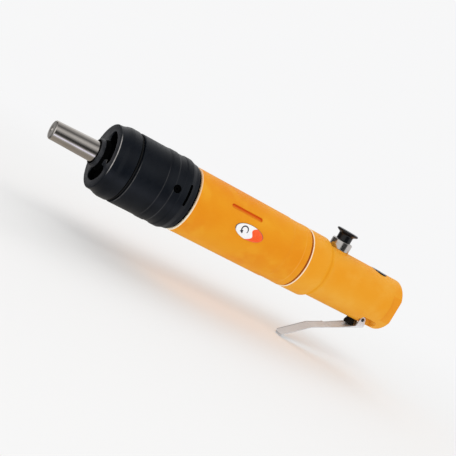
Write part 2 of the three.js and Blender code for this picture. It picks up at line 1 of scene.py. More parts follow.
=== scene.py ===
"""An air-powered drill motor: steel spindle, black front cap and gear case, yellow motor housing
and yellow handle with a reverse button, a throttle valve and a squeeze lever.

Shapes are drawn in a design frame in millimetres. The spindle axis is the x axis, x = 0 is the
front of the yellow housing, +x runs forward to the spindle tip, +z is up and the lever hangs
below. The side toward +y faces the camera. Roll angles go round x, from +y toward +z.
"""
import math
from functools import cached_property
from math import cos, pi, radians, sin

import bpy
import bmesh
import numpy as np
from mathutils import Matrix, Vector


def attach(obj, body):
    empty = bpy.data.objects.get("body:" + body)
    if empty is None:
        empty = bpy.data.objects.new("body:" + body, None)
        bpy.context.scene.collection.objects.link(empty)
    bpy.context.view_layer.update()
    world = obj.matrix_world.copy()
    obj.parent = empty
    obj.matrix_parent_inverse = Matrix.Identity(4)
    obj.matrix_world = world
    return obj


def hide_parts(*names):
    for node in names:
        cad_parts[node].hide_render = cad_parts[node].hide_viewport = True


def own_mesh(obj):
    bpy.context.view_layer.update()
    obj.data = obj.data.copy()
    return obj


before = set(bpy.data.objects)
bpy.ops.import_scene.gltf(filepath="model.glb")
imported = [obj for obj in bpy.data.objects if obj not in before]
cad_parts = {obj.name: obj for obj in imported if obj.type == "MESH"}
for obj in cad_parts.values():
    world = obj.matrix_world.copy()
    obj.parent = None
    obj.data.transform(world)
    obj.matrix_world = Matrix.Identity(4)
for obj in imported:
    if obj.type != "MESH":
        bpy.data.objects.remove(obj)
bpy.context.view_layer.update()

scene = bpy.context.scene

MM = 1e-3                            # metres in a millimetre
ORIGIN_X, ORIGIN_Z = 46.3, 57.424    # place of the design origin in the scene, mm

HOUSING_RADIUS = 24.05
FLAT_Y = 18.0                        # half width across the two flats at the back of the handle
BUTTON_X = -132.8                    # axis of the reverse button
VALVE_X = -175.5                     # axis of the throttle valve
PIN_X, PIN_Z = -182.0, -18.1         # lever pin
LOCK_X, LOCK_ROLL = 16.9, 14         # lock screw in the gear case


# ---------------------------------------------------------------- places
# An axis function takes (distance along, radius, angle) and gives a design point.
# A view function takes an outline point (u, v) and a height and gives a design point.
def scene_point(point):
    return ((point[0] + ORIGIN_X) * MM, point[1] * MM, (point[2] + ORIGIN_Z) * MM)


def along_x(y0=0, z0=0):
    return lambda a, r, t: (a, y0 + r * cos(t), z0 + r * sin(t))


def along_y(x0, z0):
    return lambda a, r, t: (x0 + r * cos(t), a, z0 + r * sin(t))


def along_z(x0):
    return lambda a, r, t: (x0 + r * cos(t), r * sin(t), a)


def radial(x0, roll):
    """Axis pointing out from the spindle axis at a roll angle."""
    c, s = cos(radians(roll)), sin(radians(roll))
    return lambda a, r, t: (x0 + r * cos(t), c * a - s * r * sin(t), s * a + c * r * sin(t))


def rolled_view(x0, roll):
    """Outlines seen from outside the body, looking in at a roll angle."""
    c, s = cos(radians(roll)), sin(radians(roll))
    return lambda u, v, height: (x0 + u, c * height - s * v, s * height + c * v)


def plan_view(u, v, height):
    return (u, v, height)


def side_view(u, v, height):
    return (u, height, v)


def front_view(u, v, height):
    return (height, u, v)


# ---------------------------------------------------------------- outlines
def rounded(points, corner, arc=15.0):
    """Closed outline with rounded corners. A point may carry its own radius as a third number."""
    flat = [np.array(p[:2], float) for p in points]
    outline = []
    for i, here in enumerate(flat):
        radius = points[i][2] if len(points[i]) > 2 else corner
        back, ahead = flat[i - 1] - here, flat[(i + 1) % len(flat)] - here
        back_length, ahead_length = np.linalg.norm(back), np.linalg.norm(ahead)
        if radius <= 0 or back_length < 1e-9 or ahead_length < 1e-9:
            outline.append(tuple(here))
            continue
        back, ahead = back / back_length, ahead / ahead_length
        angle = math.acos(max(-1.0, min(1.0, float(back @ ahead))))
        if angle > pi - 0.05 or angle < 0.05:
            outline.append(tuple(here))
            continue
        reach = min(radius / math.tan(angle / 2), 0.46 * min(back_length, ahead_length))
        radius = reach * math.tan(angle / 2)
        middle = (back + ahead) / np.linalg.norm(back + ahead)
        centre = here + middle * radius / sin(angle / 2)
        first, last = here + back * reach - centre, here + ahead * reach - centre
        start, end = math.atan2(first[1], first[0]), math.atan2(last[1], last[0])
        sweep = (end - start + pi) % (2 * pi) - pi
        steps = max(2, int(math.ceil(abs(sweep) / radians(arc))))
        for j in range(steps + 1):
            t = start + sweep * j / steps
            outline.append((centre[0] + radius * cos(t), centre[1] + radius * sin(t)))
    return outline


def lathe_profile(points, corner, step):
    """Rounded closed profile of (along, radius) points.

    Corners on the axis stay sharp, and runs longer than step are divided.
    """
    base = rounded([(p[0], p[1], 0.0) if p[1] < 1e-6 else p for p in points], corner)
    divided = []
    for i, p in enumerate(base):
        q = base[(i + 1) % len(base)]
        divided.append(p)
        if p[1] < 1e-6 and q[1] < 1e-6:
            continue
        cuts = int(math.hypot(q[0] - p[0], q[1] - p[1]) / step)
        for j in range(1, cuts + 1):
            divided.append((p[0] + (q[0] - p[0]) * j / (cuts + 1),
                            p[1] + (q[1] - p[1]) * j / (cuts + 1)))
    clean = []
    for p in divided:
        if not clean or math.hypot(p[0] - clean[-1][0], p[1] - clean[-1][1]) > 1e-4:
            clean.append(p)
    return clean


def hexagon(radius, turn=0):
    return [(radius * cos(radians(60 * k + turn)), radius * sin(radians(60 * k + turn)))
            for k in range(6)]


def capsule(x0, x1, half, steps=14):
    """Straight slot with round ends centred on x0 and x1."""
    points = []
    for x, start in ((x1, -pi / 2), (x0, pi / 2)):
        for k in range(steps + 1):
            t = start + pi * k / steps
            points.append((x + half * cos(t), half * sin(t)))
    return points


def prism(outline, low, high):
    """Loft sections of a straight extrusion."""
    return [(outline, low), (outline, high)]


# ---------------------------------------------------------------- meshes
def mesh_object(name, verts, faces, weld=True):
    mesh = bpy.data.meshes.new(name)
    mesh.from_pydata([scene_point(v) for v in verts], [], faces)
    bm = bmesh.new()
    bm.from_mesh(mesh)
    if weld:
        bmesh.ops.remove_doubles(bm, verts=bm.verts, dist=1e-7)
    bmesh.ops.recalc_face_normals(bm, faces=bm.faces)
    bm.to_mesh(mesh)
    bm.free()
    obj = bpy.data.objects.new(name, mesh)
    scene.collection.objects.link(obj)
    return obj


def tube_faces(rings, size, first=0):
    """Faces of a capped tube whose rings of `size` vertices start at index first."""
    faces = []
    for ring in range(rings - 1):
        low = first + ring * size
        high = low + size
        for k in range(size):
            k2 = (k + 1) % size
            faces.append((low + k, low + k2, high + k2, high + k))
    last = first + (rings - 1) * size
    faces.append(tuple(range(first + size - 1, first - 1, -1)))
    faces.append(tuple(range(last, last + size)))
    return faces


def revolve(name, profile, place, segments, reshape=None):
    """Turn a closed profile; reshape(along, radius, angle) may change the radius."""
    verts, rings, faces = [], [], []
    for a, r in profile:
        if r < 1e-6:
            rings.append([len(verts)])
            verts.append(place(a, 0.0, 0.0))
            continue
        ring = []
        for k in range(segments):
            t = 2 * pi * k / segments
            ring.append(len(verts))
            verts.append(place(a, reshape(a, r, t) if reshape else r, t))
        rings.append(ring)
    for i, p in enumerate(rings):
        q = rings[(i + 1) % len(rings)]
        if len(p) == 1 and len(q) == 1:
            continue
        for k in range(segments):
            k2 = (k + 1) % segments
            if len(p) == 1:
                faces.append((p[0], q[k2], q[k]))
            elif len(q) == 1:
                faces.append((p[k], p[k2], q[0]))
            else:
                faces.append((p[k], p[k2], q[k2], q[k]))
    return mesh_object(name, verts, faces)


def turned(name, points, corner, step, place=along_x(), segments=128):
    """Revolve (along, radius[, corner radius]) points; corner is the radius of the others."""
    return revolve(name, lathe_profile(points, corner, step), place, segments)


def loft(name, sections, place):
    """Capped body through sections, each (outline, height)."""
    verts = [place(u, v, height) for outline, height in sections for u, v in outline]
    faces = tube_faces(len(sections), len(sections[0][0]))
    return mesh_object(name, verts, faces, weld=False)


def apply_modifiers(obj):
    bpy.context.view_layer.update()
    depsgraph = bpy.context.evaluated_depsgraph_get()
    mesh = bpy.data.meshes.new_from_object(obj.evaluated_get(depsgraph))
    old = obj.data
    obj.modifiers.clear()
    obj.data = mesh
    bpy.data.meshes.remove(old)


def boolean(obj, tool, operation="DIFFERENCE"):
    modifier = obj.modifiers.new("cut", "BOOLEAN")
    modifier.operation, modifier.solver, modifier.object = operation, "EXACT", tool
    apply_modifiers(obj)
    tool_mesh = tool.data
    bpy.data.objects.remove(tool)
    bpy.data.meshes.remove(tool_mesh)


def bore(obj, points, place, segments):
    """Cut away a revolved profile."""
    boolean(obj, revolve("tool", points, place, segments))


def drill(obj, place, start, end, radius, segments):
    """Cut a plain round hole."""
    bore(obj, [(start, 0), (start, radius), (end, radius), (end, 0)], place, segments)


def carve(obj, sections, place, operation="DIFFERENCE"):
    boolean(obj, loft("tool", sections, place), operation)


def bevel_edges(obj, width, segments, angle):
    modifier = obj.modifiers.new("edge", "BEVEL")
    modifier.width = width * MM
    modifier.segments = segments
    modifier.limit_method = "ANGLE"
    modifier.angle_limit = radians(angle)
    modifier.use_clamp_overlap = True
    apply_modifiers(obj)


def shade(mesh, angle):
    mesh.shade_smooth()
    mesh.set_sharp_from_angle(angle=radians(angle))


def ship(obj, body, slot, replaced=None, material=None, angle=30.0):
    mesh = obj.data
    bm = bmesh.new()
    bm.from_mesh(mesh)
    bmesh.ops.remove_doubles(bm, verts=bm.verts, dist=1e-6)
    bmesh.ops.dissolve_degenerate(bm, dist=1e-7, edges=bm.edges)
    loose = [v for v in bm.verts if not v.link_faces]
    if loose:
        bmesh.ops.delete(bm, geom=loose, context="VERTS")
    bmesh.ops.recalc_face_normals(bm, faces=bm.faces)
    bm.to_mesh(mesh)
    bm.free()
    shade(mesh, angle)
    mesh.materials.clear()
    mesh.materials.append(material or MATERIALS[slot])
    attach(obj, body)
    if replaced:
        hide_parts(replaced)


# ---------------------------------------------------------------- shader graphs
class Graph:
    """Shorthand for building a node tree. Values may be numbers, colours or sockets."""

    def __init__(self, owner):
        owner.use_nodes = True
        self.tree = owner.node_tree
        self.tree.nodes.clear()

    def put(self, socket, value):
        if isinstance(value, bpy.types.NodeSocket):
            self.tree.links.new(value, socket)
        elif socket.type == "RGBA":
            socket.default_value = (*value, 1)
        else:
            socket.default_value = value

    def node(self, kind, inputs=None, **settings):
        made = self.tree.nodes.new("ShaderNode" + kind)
        for key, value in settings.items():
            setattr(made, key, value)
        for key, value in (inputs or {}).items():
            self.put(made.inputs[key], value)
        return made

    def remap(self, value, span, to=(0, 1), curve="LINEAR"):
        """Carry the range span onto the range to."""
        inputs = dict(enumerate((value, *span, *to)))
        return self.node("MapRange", inputs, interpolation_type=curve).outputs[0]

    def ease(self, value, span, to=(0, 1)):
        return self.remap(value, span, to, "SMOOTHSTEP")

    def mix(self, factor, a, b):
        return self.node("Mix", {0: factor, 6: a, 7: b}, data_type="RGBA").outputs[2]


class Material(Graph):
    """A procedural material. Coordinates are the object's own, in design millimetres."""

    def __init__(self, name):
        self.material = bpy.data.materials.new("fin_" + name)
        super().__init__(self.material)
        self.place = self.node("Mapping", {
            "Vector": self.node("TexCoord").outputs["Object"],
            "Scale": (1000, 1000, 1000),
            "Location": (-ORIGIN_X, 0, -ORIGIN_Z)}).outputs[0]

    @cached_property
    def axes(self):
        return tuple(self.node("SeparateXYZ", {0: self.place}).outputs)

    def math(self, operation, a, b=0.0):
        return self.node("Math", {0: a, 1: b, 2: 0.0}, operation=operation).outputs[0]

    def times(self, a, b):
        return self.math("MULTIPLY", a, b)

    def plus(self, a, b):
        return self.math("ADD", a, b)

    def opposite(self, a):
        return self.math("SUBTRACT", 1.0, a)

    def inside(self, value, low, high):
        above = self.math("GREATER_THAN", value, low)
        return self.times(above, self.math("LESS_THAN", value, high))

    def away(self, value, centre):
        return self.math("ABSOLUTE", self.math("SUBTRACT", value, centre))

    def length(self, a, b):
        return self.math("SQRT", self.plus(self.times(a, a), self.times(b, b)))

    def elevation(self):
        """Angle above the horizontal round the tool, the same on both sides."""
        _, y, z = self.axes
        return self.math("ARCTAN2", z, self.math("ABSOLUTE", y))

    def noise(self, scale, detail=3.0, rough=0.55, stretch=None):
        vector = self.place
        if stretch:
            vector = self.node("Mapping", {"Scale": stretch, "Vector": vector}).outputs[0]
        return self.node("TexNoise", {"Vector": vector, "Scale": scale, "Detail": detail,
                                      "Roughness": rough}).outputs[0]

    def edge(self, radius, span):
        """1 on edges, 0 on open faces."""
        bevel = self.node("Bevel", {"Radius": radius * MM}, samples=4)
        normal = self.node("NewGeometry").outputs["Normal"]
        product = self.node("VectorMath", {0: bevel.outputs[0], 1: normal},
                            operation="DOT_PRODUCT")
        return self.ease(self.opposite(product.outputs["Value"]), span)

    def band(self, x0, half, soft):
        """1 on the ring at x0, fading out over soft beyond the half width."""
        return self.ease(self.away(self.axes[0], x0), (half, half + soft), to=(1, 0))

    def bump(self, height, strength, distance):
        return self.node("Bump", {"Strength": strength, "Distance": distance * MM,
                                  "Height": height}).outputs[0]

    def finish(self, color, rough, normal, metal=0.0, spec=0.5, coat=0.0, coat_rough=0.03):
        surface = self.node("BsdfPrincipled", {
            "Base Color": color, "Metallic": metal, "Roughness": rough, "Normal": normal,
            "Specular IOR Level": spec, "Coat Weight": coat, "Coat Roughness": coat_rough})
        self.node("OutputMaterial", {0: surface.outputs[0]})
        return self.material


# ---------------------------------------------------------------- materials
def painted(name, base, dark, light, seam_light_and_shade, flat_y=None, slot=None):
    """Satin enamel: broad soft tone changes, orange peel, thin bright edges.

    seam_light_and_shade: painted highlights and painted shade along joints and steps, as (x, half
    width, fade, strength, colour, share of the strength left near the top).
    flat_y is the y of the handle's flats, which get painted shade; slot is the x range of the
    housing groove, painted with shade inside.
    """
    m = Material(name)
    x, y, z = m.axes
    big = m.noise(scale=0.030, detail=2.0, rough=0.5)
    mid = m.noise(scale=0.085, detail=2.0, rough=0.5)
    fine = m.noise(scale=2.6, detail=2.0, rough=0.5)
    grit = m.noise(scale=9.0, detail=2.0, rough=0.6)
    color = m.mix(m.ease(big, (0.36, 0.64), to=(0, 0.8)), dark, base)
    color = m.mix(m.ease(mid, (0.44, 0.74), to=(0, 0.45)), color, light)
    color = m.mix(m.remap(fine, (0.35, 0.7), to=(0, 0.05)), color, dark)
    # painted shade: a deeper tone along the belt that faces sideways, paler toward crown and
    # belly, where more light falls
    painted_side_shade = m.ease(m.away(m.elevation(), radians(6)), (0.0, 0.62), to=(1, 0))
    color = m.mix(m.times(painted_side_shade, 0.62), color, dark)
    worn = m.times(m.edge(radius=0.24, span=(0.03, 0.22)),
                   m.remap(m.noise(scale=0.9, detail=4.0, rough=0.7), (0.48, 0.66)))
    color = m.mix(m.times(worn, 0.10), color, (0.88, 0.52, 0.16))
    # painted highlights and painted shadows at the joints and steps, made stronger toward the
    # underside
    for seam_x, half, soft, strength, tone, top in seam_light_and_shade:
        lower = m.ease(z, (15.0, -10.0), to=(top, 1.0))
        amount = m.times(m.times(m.band(seam_x, half, soft), lower), strength)
        color = m.mix(amount, color, tone)
    # painted shade on the flats at the back of the handle
    if flat_y:
        flat_shade = m.math("LESS_THAN", m.away(m.math("ABSOLUTE", y), flat_y), 0.06)
        flat_shade = m.times(flat_shade, m.math("LESS_THAN", x, -186.6))
        color = m.mix(m.times(flat_shade, 0.45), color, (0.745, 0.250, 0.010))
    # painted shade inside the housing groove, darker on its upper wall where the shadow falls
    if slot:
        radius = m.length(y, z)
        in_slot = m.times(m.inside(x, *slot), m.ease(radius, (23.75, 23.45)))
        shadowed_upper_wall = m.ease(z, (12.5, 14.1))
        groove_shade = m.mix(shadowed_upper_wall, m.mix(fine, (0.68, 0.215, 0.008), (0.75, 0.260, 0.013)),
                     m.mix(fine, (0.66, 0.088, 0.005), (0.74, 0.120, 0.008)))
        color = m.mix(in_slot, color, groove_shade)
    rough = m.plus(m.remap(mid, (0.3, 0.7), to=(0.40, 0.48)),
                   m.remap(grit, (0.3, 0.7), to=(-0.03, 0.04)))
    peel = m.bump(m.plus(m.times(fine, 0.8), m.times(grit, 0.25)), strength=0.09, distance=0.05)
    # the shine is taken away in the step behind the handle's front collar
    spec = m.times(0.09, m.opposite(m.band(-121.6, half=2.6, soft=0.8)))
    return m.finish(color, rough, peel, spec=spec)


def blackened(name, roughness, rings, wear, pits, face=None):
    """Blackened turned steel: turning marks, oily unevenness, rubbed edges, painted shade in
    openings.

    rings: painted highlights on edges, as (x, half width, fade, strength, lowest and highest
    elevation in degrees).
    pits: painted shade in ports, gaps and grooves, as (x from, x to, radius from, radius to).
    face is the x of a front face that gets painted light.
    """
    m = Material(name)
    x, y, z = m.axes
    light = (0.0044, 0.0066, 0.0106)
    big = m.noise(scale=0.05, rough=0.6)
    mid = m.noise(scale=0.5, detail=4.0, rough=0.6)
    marks = m.noise(scale=1.0, rough=0.6, stretch=(7.0, 0.05, 0.05))
    color = m.mix(m.ease(big, (0.3, 0.7)), (0.0016, 0.0032, 0.0066), light)
    color = m.mix(m.ease(mid, (0.45, 0.75), to=(0, 0.30)), color, light)
    rubbed = m.times(m.edge(radius=0.30, span=(0.02, 0.20)),
                     m.remap(m.noise(scale=1.3, detail=4.0, rough=0.7), (0.36, 0.62), (0.25, 1)))
    color = m.mix(m.times(rubbed, wear), color, (0.075, 0.077, 0.083))
    angle = m.elevation()
    # painted highlights along edges that catch the light, only over a band of elevations
    for ring_x, half, soft, strength, low, high in rings:
        arc = m.times(m.ease(angle, (radians(low - 12), radians(low + 8))),
                      m.ease(angle, (radians(high + 10), radians(high - 10)), to=(0.05, 1)))
        patches = m.remap(m.noise(scale=0.35, rough=0.6), (0.30, 0.55), to=(0.45, 1))
        amount = m.times(m.times(m.band(ring_x, half, soft), patches), m.times(arc, strength))
        color = m.mix(amount, color, (0.40, 0.38, 0.37))
    # painted light: the front face made lighter, in patches, where it catches more light
    if face:
        amount = m.times(m.ease(x, (face - 0.35, face + 0.15)),
                         m.ease(m.noise(scale=0.16, rough=0.6), (0.34, 0.62), to=(0.35, 1)))
        color = m.mix(amount, color, (0.034, 0.035, 0.040))
    rough = m.plus(m.remap(mid, (0.3, 0.7), to=(roughness - 0.05, roughness + 0.07)),
                   m.remap(marks, (0.3, 0.7), to=(-0.05, 0.05)))
    spec = 0.20
    radius = m.length(y, z)
    # painted shade: ports, gaps and grooves turned near black, with little shine and rougher
    for x0, x1, r0, r1 in pits:
        shaded_opening = m.times(m.inside(x, x0, x1), m.inside(radius, r0, r1))
        shade_black = m.mix(mid, (0.0006, 0.0006, 0.0008), (0.0016, 0.0016, 0.0018))
        color = m.mix(shaded_opening, color, shade_black)
        spec = m.times(spec, m.opposite(m.times(shaded_opening, 0.85)))
        rough = m.plus(rough, m.times(shaded_opening, 0.4))
    height = m.plus(m.times(marks, 0.7), m.times(m.noise(scale=5.0, detail=2.0), 0.35))
    return m.finish(color, rough, m.bump(height, strength=0.20, distance=0.02), spec=spec)


def metal(name, base, dark, rough, stretch, bump, tarnish,
          metallic=1.0, edge=(0.85, 0.84, 0.82), pressed=False):
    """Bare metal with tool lines; stretch sets their direction, tarnish how far it darkens."""
    m = Material(name)
    big = m.noise(scale=0.09, rough=0.6)
    lines = m.noise(scale=1.0, detail=4.0, rough=0.65, stretch=stretch)
    pits = m.noise(scale=3.0, rough=0.6)
    color = m.mix(m.ease(big, (0.35, 0.7), to=(0, tarnish)), base, dark)
    color = m.mix(m.remap(lines, (0.4, 0.75), to=(0, 0.30)), color, dark)
    color = m.mix(m.times(m.edge(radius=0.25, span=(0.03, 0.25)), 0.4), color, edge)
    if pressed:
        # outer faces of the ears made brighter, and painted shade on the inner face of the
        # channel wall, where the handle shades it
        x, y, _ = m.axes
        wide = m.math("GREATER_THAN", m.math("ABSOLUTE", y), 5.9)
        ears = m.times(wide, m.ease(x, (-174.0, -178.0), to=(0, 0.95)))
        bright = m.mix(m.remap(lines, (0.35, 0.7), to=(0, 0.5)),
                       (0.90, 0.89, 0.92), (0.80, 0.79, 0.82))
        color = m.mix(ears, color, bright)
        channel_wall_shade = m.inside(y, -5.12, -4.6)
        color = m.mix(m.times(channel_wall_shade, 0.85), color, (0.075, 0.075, 0.08))
    roughness = m.plus(m.remap(lines, (0.3, 0.7), to=(rough - 0.05, rough + 0.07)),
                       m.remap(pits, (0.35, 0.7), to=(-0.02, 0.05)))
    height = m.plus(lines, m.times(pits, 0.25))
    return m.finish(color, roughness, m.bump(height, bump, distance=0.012), metal=metallic)


def moulded(name, base, light, rough, spec, grain, bump):
    """Moulded or pressed non-metal with a fine grain and a little dust."""
    m = Material(name)
    big = m.noise(scale=0.2, rough=0.6)
    fine = m.noise(scale=grain, rough=0.6)
    dust = m.ease(m.noise(scale=0.8, detail=4.0, rough=0.7), (0.55, 0.8), to=(0, 0.35))
    color = m.mix(m.ease(big, (0.35, 0.7), to=(0, 0.6)), base, light)
    color = m.mix(dust, color, light)
    edge = m.edge(radius=0.25, span=(0.03, 0.25))
    color = m.mix(m.times(edge, 0.25), color, (0.05, 0.05, 0.053))
    roughness = m.plus(m.remap(fine, (0.3, 0.7), to=(rough - 0.04, rough + 0.06)),
                       m.times(dust, 0.15))
    return m.finish(color, roughness, m.bump(fine, bump, distance=0.02), spec=spec)


def enamel(name):
    """Oval plate: white field with an orange-red part and a thin dark rim; no lettering."""
    m = Material(name)
    plate = m.node("Attribute", attribute_name="plate_uv").outputs["Vector"]
    u, v, _ = m.node("SeparateXYZ", {0: plate}).outputs
    radius = m.length(u, v)
    sway = m.times(m.math("SINE", m.times(v, 3.1)), 0.20)
    split = m.plus(m.plus(m.times(u, -0.93), m.times(v, -0.30)), sway)
    white = m.mix(m.remap(m.noise(scale=0.5), (0.3, 0.7)), (0.83, 0.83, 0.84), (0.90, 0.89, 0.88))
    orange = m.mix(m.remap(m.noise(scale=0.6), (0.3, 0.7)),
                   (0.90, 0.085, 0.008), (0.94, 0.115, 0.016))
    color = m.mix(m.remap(split, (0.17, 0.20)), white, orange)
    rim = m.times(m.remap(radius, (0.945, 0.965)),
                  m.ease(m.plus(v, m.times(u, 0.2)), (-0.35, 0.05), to=(0.15, 1.0)))
    color = m.mix(rim, color, (0.035, 0.040, 0.060))
    fine = m.noise(scale=3.0)
    return m.finish(color, m.remap(fine, (0.3, 0.7), to=(0.24, 0.34)),
                    m.bump(fine, strength=0.06, distance=0.02), coat=0.3, coat_rough=0.12)


CREAM_EDGE_HIGHLIGHT = (0.97, 0.86, 0.66)
# painted highlights on the joint chamfers (cream, partly standing for bare metal there) and on
# the forward step, and painted shade in the joint gaps and on the rear-facing collar chamfer;
# columns as in painted
HOUSING_SEAM_LIGHT_AND_SHADE = [
    (-0.42, 0.36, 0.30, 0.97, CREAM_EDGE_HIGHLIGHT, 0.45),
    (-94.75, 0.10, 0.35, 0.22, (0.88, 0.48, 0.14), 0.6),
    (-100.1, 0.12, 0.20, 0.8, (0.40, 0.05, 0.003), 1.0)]
HANDLE_SEAM_LIGHT_AND_SHADE = [
    (-102.05, 0.16, 0.24, 0.95, CREAM_EDGE_HIGHLIGHT, 0.9),
    (-101.2, 0.45, 0.1, 0.85, (0.60, 0.09, 0.004), 1.0),
    (-121.6, 0.7, 1.4, 0.30, (0.70, 0.22, 0.004), 1.0)]
# painted highlights on edges of the cap and the gear case; columns as in blackened
CAP_HIGHLIGHT_RINGS = [(64.75, 0.12, 0.28, 0.95, -10, 50)]
CASE_HIGHLIGHT_RINGS = [(47.35, 0.06, 0.25, 0.20, -60, 20), (26.9, 0.05, 0.35, 0.08, -55, 40),
              (19.4, 0.05, 0.4, 0.06, -55, 20)]
# painted shade in ports, gaps and grooves; columns as in blackened's pits
CAP_SHADED_OPENINGS = [(40.0, 64.9, 10.4, 21.5), (64.0, 68.7, 9.9, 10.95), (60.0, 71.6, 7.8, 8.75),
            (48.4, 50.15, 22.0, 24.9)]
CASE_SHADED_OPENINGS = [(12.6, 20.9, 18.0, 25.2), (6.6, 9.2, 18.0, 25.05), (0.2, 2.0, 20.0, 24.2)]

# Material slot: (maker, settings)
FINISHES = {
    "housing_yellow": (painted, dict(
        base=(0.755, 0.310, 0.0110), dark=(0.730, 0.250, 0.0070), light=(0.790, 0.375, 0.0230),
        seam_light_and_shade=HOUSING_SEAM_LIGHT_AND_SHADE, slot=(-56.0, -25.0))),
    "handle_yellow": (painted, dict(
        base=(0.775, 0.355, 0.0300), dark=(0.760, 0.298, 0.0130), light=(0.790, 0.405, 0.0550),
        seam_light_and_shade=HANDLE_SEAM_LIGHT_AND_SHADE, flat_y=FLAT_Y)),
    "cap_black": (blackened, dict(
        roughness=0.34, rings=CAP_HIGHLIGHT_RINGS, wear=0.45, pits=CAP_SHADED_OPENINGS, face=65.4)),
    "case_black": (blackened, dict(
        roughness=0.40, rings=CASE_HIGHLIGHT_RINGS, wear=0.35, pits=CASE_SHADED_OPENINGS)),
    "ground_steel": (metal, dict(
        base=(0.64, 0.60, 0.565), dark=(0.42, 0.38, 0.345), rough=0.12,
        stretch=(4.5, 0.10, 0.10), bump=0.07, tarnish=0.30)),
    "machined_steel": (metal, dict(
        base=(0.66, 0.63, 0.60), dark=(0.40, 0.37, 0.35), rough=0.16,
        stretch=(0.35, 0.35, 6.0), bump=0.16, tarnish=0.40)),
    "cast_iron": (metal, dict(
        base=(0.20, 0.20, 0.205), dark=(0.09, 0.088, 0.085), rough=0.50,
        stretch=(1.6, 1.6, 1.6), bump=0.35, tarnish=0.6, metallic=0.9)),
    "lever_steel": (metal, dict(
        base=(0.62, 0.62, 0.63), dark=(0.46, 0.455, 0.46), rough=0.36,
        stretch=(0.25, 3.2, 0.5), bump=0.12, tarnish=0.25, metallic=0.35,
        edge=(0.80, 0.80, 0.81), pressed=True)),
    "dark_steel": (metal, dict(
        base=(0.16, 0.16, 0.165), dark=(0.07, 0.07, 0.075), rough=0.34,
        stretch=(3.0, 0.4, 0.4), bump=0.16, tarnish=0.5, edge=(0.4, 0.4, 0.4))),
    "brass": (metal, dict(
        base=(0.78, 0.56, 0.24), dark=(0.50, 0.33, 0.13), rough=0.30,
        stretch=(2.5, 0.4, 0.4), bump=0.18, tarnish=0.45, edge=(0.95, 0.80, 0.5))),
    "black_plastic": (moulded, dict(
        base=(0.004, 0.0045, 0.0055), light=(0.009, 0.0095, 0.011),
        rough=0.22, spec=0.36, grain=2.2, bump=0.08)),
    "black_rubber": (moulded, dict(
        base=(0.0028, 0.0028, 0.003), light=(0.0065, 0.0065, 0.0065),
        rough=0.60, spec=0.20, grain=5.5, bump=0.30)),
    "vane_composite": (moulded, dict(
        base=(0.16, 0.085, 0.045), light=(0.26, 0.15, 0.08),
        rough=0.58, spec=0.35, grain=4.0, bump=0.35)),
    "gasket_fibre": (moulded, dict(
        base=(0.06, 0.056, 0.048), light=(0.11, 0.10, 0.085),
        rough=0.75, spec=0.25, grain=6.0, bump=0.45)),
    "badge_enamel": (enamel, {}),
}
MATERIALS = {slot: maker(slot, **settings) for slot, (maker, settings) in FINISHES.items()}
INK = moulded("badge_ink", base=(0.020, 0.023, 0.035), light=(0.045, 0.048, 0.06),
              rough=0.35, spec=0.4, grain=4.0, bump=0.1)


def finish_cad_nodes():
    """Every carried-over CAD node takes the procedural finish of its slot."""
    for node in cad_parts.values():
        slots = node.data.materials
        slot = slots[0].name.split(".")[0] if slots and slots[0] else ""
        material = MATERIALS.get(slot, MATERIALS["machined_steel"])
        slots.clear()
        slots.append(material)
        shade(node.data, 33)


# ---------------------------------------------------------------- spindle and nose
BODY_SEGMENTS = 192


def build_spindle():
    spindle = turned("spindle_skin", [
        (33.5, 0), (33.5, 17.2), (37.6, 17.2), (37.6, 10.1), (38.5, 10.1), (38.5, 8.45),
        (45.7, 8.45), (45.7, 9.6), (50.9, 9.6), (50.9, 7.45), (58.15, 7.45), (58.15, 6.9),
        (59.35, 6.9), (59.35, 7.45), (72.0, 7.53), (72.6, 7.50), (103.05, 6.66), (103.7, 6.05),
        (103.7, 1.75), (102.5, 1.0), (99.2, 1.0), (98.6, 0)], corner=0.22, step=5.0)
    ship(spindle, "spindle_group", "ground_steel", "spindle")


def kidney(start, end, inner, outer, grow, end_steps=14, arc_steps=22):
    """Outline in (y, z) of a curved port with full round ends; grow pushes it outwards.

    start and end are roll angles in degrees.
    """
    middle, half = (inner + outer) / 2, (outer - inner) / 2
    end_angle = math.degrees(half / middle) * 0.92
    half += grow
    first, last = radians(start + end_angle), radians(end - end_angle)

    def long_side(radius, a, b):
        angles = [a + (b - a) * k / arc_steps for k in range(arc_steps + 1)]
        return [(radius * cos(t), radius * sin(t)) for t in angles]

    def round_end(at, turn):
        angles = [turn + pi * k / end_steps for k in range(1, end_steps)]
        return [(middle * cos(at) + half * cos(t), middle * sin(at) + half * sin(t))
                for t in angles]

    return (long_side(middle + half, first, last) + round_end(last, last)
            + long_side(middle - half, last, first) + round_end(first, first + pi))


